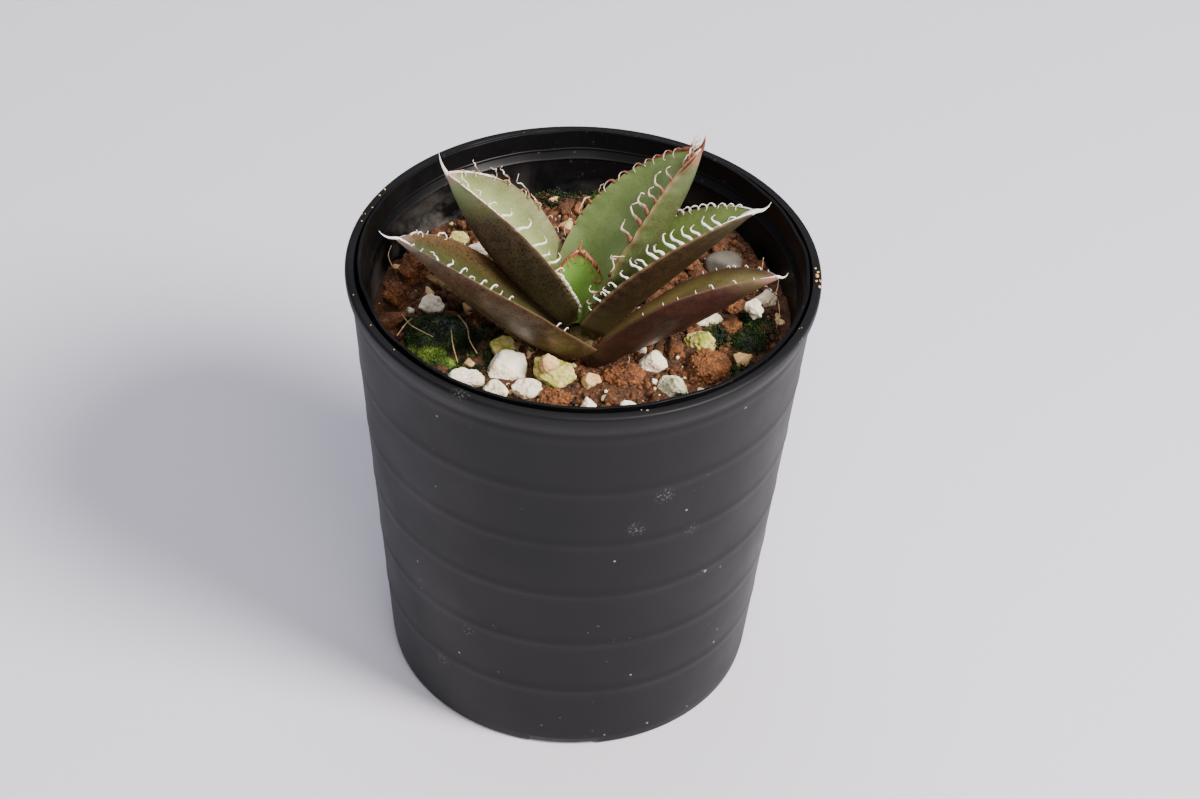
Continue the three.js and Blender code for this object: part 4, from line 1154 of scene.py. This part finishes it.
stoneHabits = {
    "pumice": {"cuts": 15, "wear": 14, "spread": 0.34, "rough": 0.5, "roughSize": 1.7, "pit": 0.55,
               "pitSize": 1.1},
    "mossy_stone": {"cuts": 15, "wear": 12, "spread": 0.34, "rough": 0.6, "roughSize": 1.6, "pit": 0.5,
                    "pitSize": 0.9},
    "kanuma": {"cuts": 14, "wear": 11, "spread": 0.34, "rough": 0.5, "roughSize": 1.5, "pit": 0.35,
               "pitSize": 0.8},
    "lichened_stone": {"cuts": 15, "wear": 12, "spread": 0.32, "rough": 0.6, "roughSize": 1.6, "pit": 0.5,
                       "pitSize": 0.9},
    "akadama": {"cuts": 14, "wear": 9, "spread": 0.32, "rough": 1.2, "roughSize": 1.6, "pit": -0.7,
                "pitSize": 0.6},
    "fibre_clod": {"cuts": 14, "wear": 8, "spread": 0.32, "rough": 1.3, "roughSize": 1.9, "pit": -0.75,
                   "pitSize": 0.7},
    "pebble": {"cuts": 12, "wear": 4, "spread": 0.15, "rough": 0.1, "roughSize": 3.0, "pit": 0.0,
               "pitSize": 1.0},
    "moss": {"cuts": 10, "wear": 4, "spread": 0.2, "rough": 0.7, "roughSize": 3.0, "pit": -0.3,
             "pitSize": 1.2},
}


def stonePoints(node, habit, level):
    # a broken stone stretched to its node's box, roughened, then pitted (or crumbed, where pit is negative)
    low, high = (np.array(corner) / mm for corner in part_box(node))
    centre, size = (low + high) / 2, high - low
    directions, triangles = ballMesh(level)
    radius = brokenStone(directions, 1, habit["cuts"], habit["wear"], habit["spread"])[0]
    shape = directions * radius[:, None]
    shape = (shape - (shape.max(0) + shape.min(0)) / 2) / (shape.max(0) - shape.min(0)) * size
    places = shape + centre
    rough = habit["rough"] * layeredNoise(places, habit["roughSize"], 41, 4)
    pits = np.clip(0.55 - cellDistance(places, habit["pitSize"], 17), 0, 1)
    depth = 0.4 * rough - habit["pit"] * pits
    return places + directions * depth[:, None], triangles, directions


for entry in frame["record"]["subparts"]:
    node, slot = entry["node"], entry["material_slot"]
    if slot not in stoneHabits or slot == "moss":
        continue
    big = (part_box(node)[1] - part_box(node)[0]).length > 8 * mm
    points, triangles, _ = stonePoints(node, stoneHabits[slot], 6 if big else 5)
    makePiece(node + "_stone", points, [triangles], materials[slot], [node],
              {"shade": np.zeros(len(points))})
print("stones made")


def mossLeaf(name, deep, light):
    # moss leaflets: dark green when wet, lighter in slow patches on leaflets with a high shade number
    material, shader = startMaterial(name, Roughness=0.45, IOR=1.42)
    place = addNode(material, "TexCoord").outputs["Object"]
    shade = addNode(material, "Attribute", attribute_name="shade").outputs["Fac"]
    slow = addNode(material, "TexNoise", {"Vector": place, "Scale": 1 / (3 * mm), "Detail": 3.0}).outputs[0]
    patch = addNode(material, "MapRange", {"Value": slow, "From Min": 0.5, "From Max": 0.72})
    amount = addNode(material, "Math", {0: patch, 1: shade}, operation="MULTIPLY")
    colour = addNode(material, "Mix", {mixFactor: amount, mixA: linear(deep), mixB: linear(light)},
                     data_type="RGBA")
    join(material, colour.outputs[mixResult], shader, "Base Color")
    return material


materials["moss"] = mossLeaf("wet moss", "1c2a12", "5f8a2a")


def leaflets(roots, outward, length):
    # slim closed slivers, three-sided at the root and drawn to a point
    count = len(roots)
    along = outward + 0.75 * rng.normal(size=outward.shape)
    along /= np.linalg.norm(along, axis=1, keepdims=True)
    first = np.cross(along, rng.normal(size=along.shape))
    first /= np.linalg.norm(first, axis=1, keepdims=True)
    second = np.cross(along, first)
    angle = np.arange(3) * 2 * np.pi / 3
    foot = (roots[:, None] + first[:, None] * (0.22 * length[:, None] * np.cos(angle))[..., None]
            + second[:, None] * (0.1 * length[:, None] * np.sin(angle))[..., None])
    tip = roots[:, None] + along[:, None] * length[:, None, None]
    points = np.concatenate([foot, tip], 1).reshape(-1, 3)
    one = np.array([[0, 2, 1], [0, 1, 3], [1, 2, 3], [2, 0, 3]])
    faces = (one[None] + (np.arange(count) * 4)[:, None, None]).reshape(-1, 3)
    return points, [faces], np.repeat(rng.random(count), 4)


def makeMoss(node, count):
    # a cushion: a soft lump in its node's box, with leaflets set on every side but the underside
    points, triangles, directions = stonePoints(node, stoneHabits["moss"], 5)
    chosen = rng.integers(0, len(points), count)
    chosen = chosen[directions[chosen, 2] > -0.35]
    jitter = rng.normal(0, 0.25, (len(chosen), 3))
    leafy = leaflets(points[chosen] + jitter, directions[chosen], rng.uniform(0.35, 0.95, len(chosen)))
    points, faces, shade = joined([(points, [triangles], np.zeros(len(points))), leafy])
    makePiece(node + "_cushion", points, faces, materials["moss"], [node], {"shade": shade})


for node, count in (("moss_left", 7000), ("moss_right", 2600), ("moss_far_right", 2600)):
    makeMoss(node, count)


# Where moss creeps over the bed: each middle's x, y and reach
mossCarpet = {"middles": [(-26, -17.5, 4.5), (-19, -15, 4.0), (-31, -4, 3.5), (-18, -8, 4.0), (26, -6, 3.0),
                          (34, -4, 3.0), (-6, 37, 4.0), (4, 38, 4.0), (20, -25, 2.5), (31, -15, 2.5)],
              "count": 9000, "rim": 39}


def makeMossCarpet():
    # moss creeping over the bed: leaflets round a few middles, thinning outwards
    middles = np.array(mossCarpet["middles"])
    pick = middles[rng.integers(0, len(middles), mossCarpet["count"])]
    x = pick[:, 0] + rng.normal(0, 0.5, len(pick)) * pick[:, 2]
    y = pick[:, 1] + rng.normal(0, 0.5, len(pick)) * pick[:, 2]
    inside = np.hypot(x, y) < mossCarpet["rim"]
    x, y = x[inside], y[inside]
    z = soilTop(x, y) + rng.uniform(0.2, 1.3, len(x))
    outward = np.broadcast_to([0, 0, 1.0], (len(x), 3))
    points, faces, shade = leaflets(np.stack([x, y, z], -1), outward, rng.uniform(0.4, 1.1, len(x)))
    makePiece("mossCarpet", points, faces, materials["moss"], (), {"shade": shade})


makeMossCarpet()


# Each mound's x, y and radius
brightMoss = {"mounds": [(-27.8, -14.2, 2.6), (-30.4, -11.8, 1.8), (-25.2, -16.4, 1.6)], "count": 3400}


def makeBrightMoss():
    # young moss at the left front: leaflets packed on three small mounds
    mounds = np.array(brightMoss["mounds"])
    pick = mounds[rng.integers(0, len(mounds), brightMoss["count"])]
    outward = np.abs(rng.normal(size=(len(pick), 3))) * np.sign(rng.normal(size=(len(pick), 3)))
    outward[:, 2] = np.abs(outward[:, 2]) + 0.3
    outward /= np.linalg.norm(outward, axis=1, keepdims=True)
    roots = outward * pick[:, 2:] * [1, 1, 0.55]
    roots[:, :2] += pick[:, :2]
    roots[:, 2] += soilTop(pick[:, 0], pick[:, 1]) + 0.8
    points, faces, shade = leaflets(roots, outward, rng.uniform(0.35, 0.8, len(pick)))
    bright = mossLeaf("young wet moss", "506c1e", "a8be50")
    makePiece("mossTuft", points, faces, bright, (), {"shade": shade})


makeBrightMoss()
print("moss made")


def dryFibre(name, light, deep):
    # dry plant fibre: straw colour in long streaks
    material, shader = startMaterial(name, Roughness=0.75, IOR=1.45)
    place = addNode(material, "TexCoord").outputs["Object"]
    streak = addNode(material, "TexNoise", {"Vector": place, "Scale": 1 / (0.8 * mm),
                                            "Detail": 4.0}).outputs[0]
    amount = addNode(material, "MapRange", {"Value": streak, "From Min": 0.35, "From Max": 0.65})
    colour = addNode(material, "Mix", {mixFactor: amount, mixA: linear(light), mixB: linear(deep)},
                     data_type="RGBA")
    join(material, colour.outputs[mixResult], shader, "Base Color")
    bump = addNode(material, "Bump", {"Height": streak, "Strength": 0.5, "Distance": 0.15 * mm})
    join(material, bump.outputs[0], shader, "Normal")
    return material


straw = dryFibre("dry straw", "8a6f42", "4f3a1d")
rootSkin = dryFibre("fine root", "c9b08a", "94714a")
stemSkin = dryFibre("fibrous stem", "6f6038", "4a3d20")
whiteHair = dryFibre("white hair", "e6ded2", "cbbfae")


stem = {"foot": 64, "top": 82.2, "radius": 3.1, "ringPitch": 1.9, "ringDepth": 0.05}


def makeStem():
    # a short stem, ribbed by the scars of old leaves
    height = np.linspace(stem["foot"], stem["top"], 90)
    rounding = np.minimum(1, smoothStep(62.5, 67, height) * 0.6 + 0.4)
    radius = stem["radius"] * rounding * (1 - 0.35 * smoothStep(79.5, 82.4, height))
    radius = radius * (1 + stem["ringDepth"] * np.sin(height * 2 * np.pi / stem["ringPitch"]))
    grid = turned(np.stack([radius, height], -1), np.arange(64) * 2 * np.pi / 64)
    grid[..., :2] *= (1 + 0.04 * layeredNoise(grid, 1.6, 61, 3))[..., None]
    grid[..., :2] += crown
    points, faces = closedSkin(grid)
    makePiece("stemBody", points, faces, stemSkin, ["stem"])


deadLeaf = {"path": [(-29.7, 5.1, 84.9), (-24.5, 1.6, 84.4), (-19.3, -2.2, 83.6), (-13.5, -7.4, 82.6),
                     (-8.5, -11.6, 81.9)],
            "halfWidth": 0.75}


def makeDeadLeaf():
    # the folded strip splits into a few strands that lie side by side and twist a little
    base = np.array(deadLeaf["path"], float)
    offsets = np.array([(0.0, 0.0, 0.0), (0.5, 0.8, 0.25), (-0.4, -0.7, 0.1), (0.9, 1.3, -0.2)])
    drift = np.linspace(0.2, 1.2, len(base))[None, :, None]
    control = base[None] + offsets[:, None] * drift + rng.normal(0, 0.22, (len(offsets), len(base), 3))
    paths = curveThrough(control, 60)
    s = np.linspace(0, 1, 60)[None]
    width = deadLeaf["halfWidth"] * (0.75 + 0.35 * np.sin(np.pi * s) + 0.35
                                     * (1 - s)) * np.array([[1], [0.5], [0.55], [0.3]])
    across = np.stack([0.7 + 0 * s, 0.7 + 0 * s, 0.5 * np.sin(5 * s)], -1) * np.ones((len(offsets), 1, 1))
    rough = 1 + 0.22 * layeredNoise(paths, 1.2, 71, 3)
    points, faces, _ = tubes(paths, across, width * rough, 0.35 * width * rough, 10)
    makePiece("deadLeafStrip", points, faces, straw, ["dead_leaf"])


def makeHairs(name, routes, radius, material):
    # fine roots and hairs: round tubes that thin to their ends
    control = [np.array(route, float) for route in routes]
    paths = np.stack([curveThrough(route[None], 28)[0] for route in control])
    s = np.linspace(0, 1, 28)[None]
    width = radius * (0.45 + 0.75 * np.sin(np.pi * (0.15 + 0.8 * s)) ** 0.5) * np.ones((len(control), 1))
    points, faces, _ = tubes(paths, np.broadcast_to([0, 0, 1.0], paths.shape), width, width, 6)
    makePiece(name, points, faces, material, ())


rootRoutes = [
    [(-33.8, -6.9, 84.9), (-32.1, -10.1, 85.2), (-29.7, -11.7, 84.9), (-27.6, -12.4, 84.3)],
    [(-34.3, -12.9, 84.6), (-33.0, -10.6, 85.4), (-31.8, -8.3, 85.2)],
    [(-23.3, -6.7, 85.2), (-21.4, -9.9, 85.0), (-20.7, -13.1, 84.4), (-19.2, -15.6, 83.4)],
    [(-24.3, -11.0, 85.0), (-23.7, -15.1, 84.6), (-22.6, -18.8, 83.6)],
    [(33.5, 6.5, 83.5), (34.2, 9.5, 85.6), (34.6, 12.5, 87.2)],
    [(36.8, -4.5, 82.4), (37.6, -1.0, 83.8), (37.4, 3.0, 84.4)],
    [(35.6, 3.0, 83.0), (37.0, 4.4, 85.2), (37.5, 6.6, 87.0)],
    [(-36.5, 7.5, 84.5), (-37.6, 9.4, 86.0), (-37.2, 12.0, 86.6)],
    [(26.5, -12.0, 84.6), (27.4, -13.6, 86.6), (28.2, -14.2, 87.4)],
]
hairRoutes = [
    [(8.3, -15.3, 88.6), (8.1, -15.7, 90.0), (8.4, -16.1, 91.6)],
    [(9.0, -17.6, 84.2), (9.2, -18.0, 85.4), (9.1, -18.4, 86.4)],
]
makeStem()
makeDeadLeaf()
hairRadius = {"root": 0.095, "white": 0.08}
makeHairs("fineRoots", rootRoutes, hairRadius["root"], rootSkin)
makeHairs("whiteHairs", hairRoutes, hairRadius["white"], whiteHair)
print("stem, dead leaf and roots made")


def makeCrumbs():
    # a pinch of soil crumbs caught on the cover pot's rim and along the nursery pot's lip
    directions, triangles = ballMesh(2)
    rimTop = coverPot["height"]
    degrees = np.concatenate([rng.normal(-2, 2.5, 9), rng.normal(163, 5, 6), rng.uniform(190, 345, 6)])
    radius = np.concatenate([rng.normal(44.0, 0.35, 9), rng.normal(43.8, 0.3, 6), rng.normal(43.7, 0.3, 6)])
    size = np.concatenate([rng.uniform(0.25, 0.75, 9), rng.uniform(0.2, 0.45, 6),
                           rng.uniform(0.15, 0.3, 6)])
    turn = np.radians(degrees)
    spots = np.stack([radius * np.cos(turn), radius * np.sin(turn), rimTop + size * 0.3], -1)
    shape = directions[None] * brokenStone(directions, len(size), 12, 8, 0.3)[..., None]
    points = (shape * (size / 2)[:, None, None] * [1, 1, 0.7] + spots[:, None]).reshape(-1, 3)
    faces = [(triangles[None] + (np.arange(len(size)) * len(directions))[:, None, None]).reshape(-1, 3)]
    makePiece("rimCrumbs", points, faces, materials["kanuma"], (),
              {"shade": np.zeros(len(points))})


makeCrumbs()


floorSheet = {"colour": "e2e0ec", "reach": 4.0}


def makeFloor():
    # one wide level sheet at the height of the pot's foot
    material, shader = startMaterial("pale seamless paper", Roughness=0.9, IOR=1.4)
    shader.inputs["Base Color"].default_value = linear(floorSheet["colour"])
    mesh = bpy.data.meshes.new("floor")
    reach = floorSheet["reach"]
    mesh.from_pydata([(-reach, -reach, 0), (reach, -reach, 0), (reach, reach, 0), (-reach, reach, 0)], [],
                     [(0, 1, 2, 3)])
    mesh.materials.append(material)
    floor = bpy.data.objects.new("floor", mesh)
    scene.collection.objects.link(floor)


lights = {
    "key": {"place": (0.74, -0.42, 0.88), "aim": (0.1, -0.1, 0.02), "size": 0.45, "power": 31,
            "colour": "fff8f0"},
    "top": {"place": (-0.1, 0.45, 1.15), "aim": (0, 0, 0.05), "size": 0.9, "power": 4, "colour": "f6f8ff"},
    "fill": {"place": (0.1, -0.75, 1.1), "aim": (0, -0.05, 0.05), "size": 0.7, "power": 7,
             "colour": "fff8f0"},
}


def makeLight(name, spec):
    # a round area light at its place, turned to face what it aims at
    data = bpy.data.lights.new(name, "AREA")
    data.shape = "DISK"
    data.size = spec["size"]
    data.energy = spec["power"]
    data.color = linear(spec["colour"])[:3]
    made = bpy.data.objects.new(name, data)
    scene.collection.objects.link(made)
    made.location = spec["place"]
    aim = Vector(spec["aim"]) - Vector(spec["place"])
    made.rotation_euler = aim.to_track_quat("-Z", "Y").to_euler()


def makeWorld(colour, strength):
    # even light from all round, as in a pale room
    world = bpy.data.worlds.new("soft room")
    world.use_nodes = True
    back = world.node_tree.nodes["Background"]
    back.inputs[0].default_value = linear(colour)
    back.inputs[1].default_value = strength
    scene.world = world


makeFloor()
for name, spec in lights.items():
    makeLight(name, spec)
roomLight = {"colour": "dcdeee", "strength": 0.42}
makeWorld(roomLight["colour"], roomLight["strength"])
print("floor and light made")
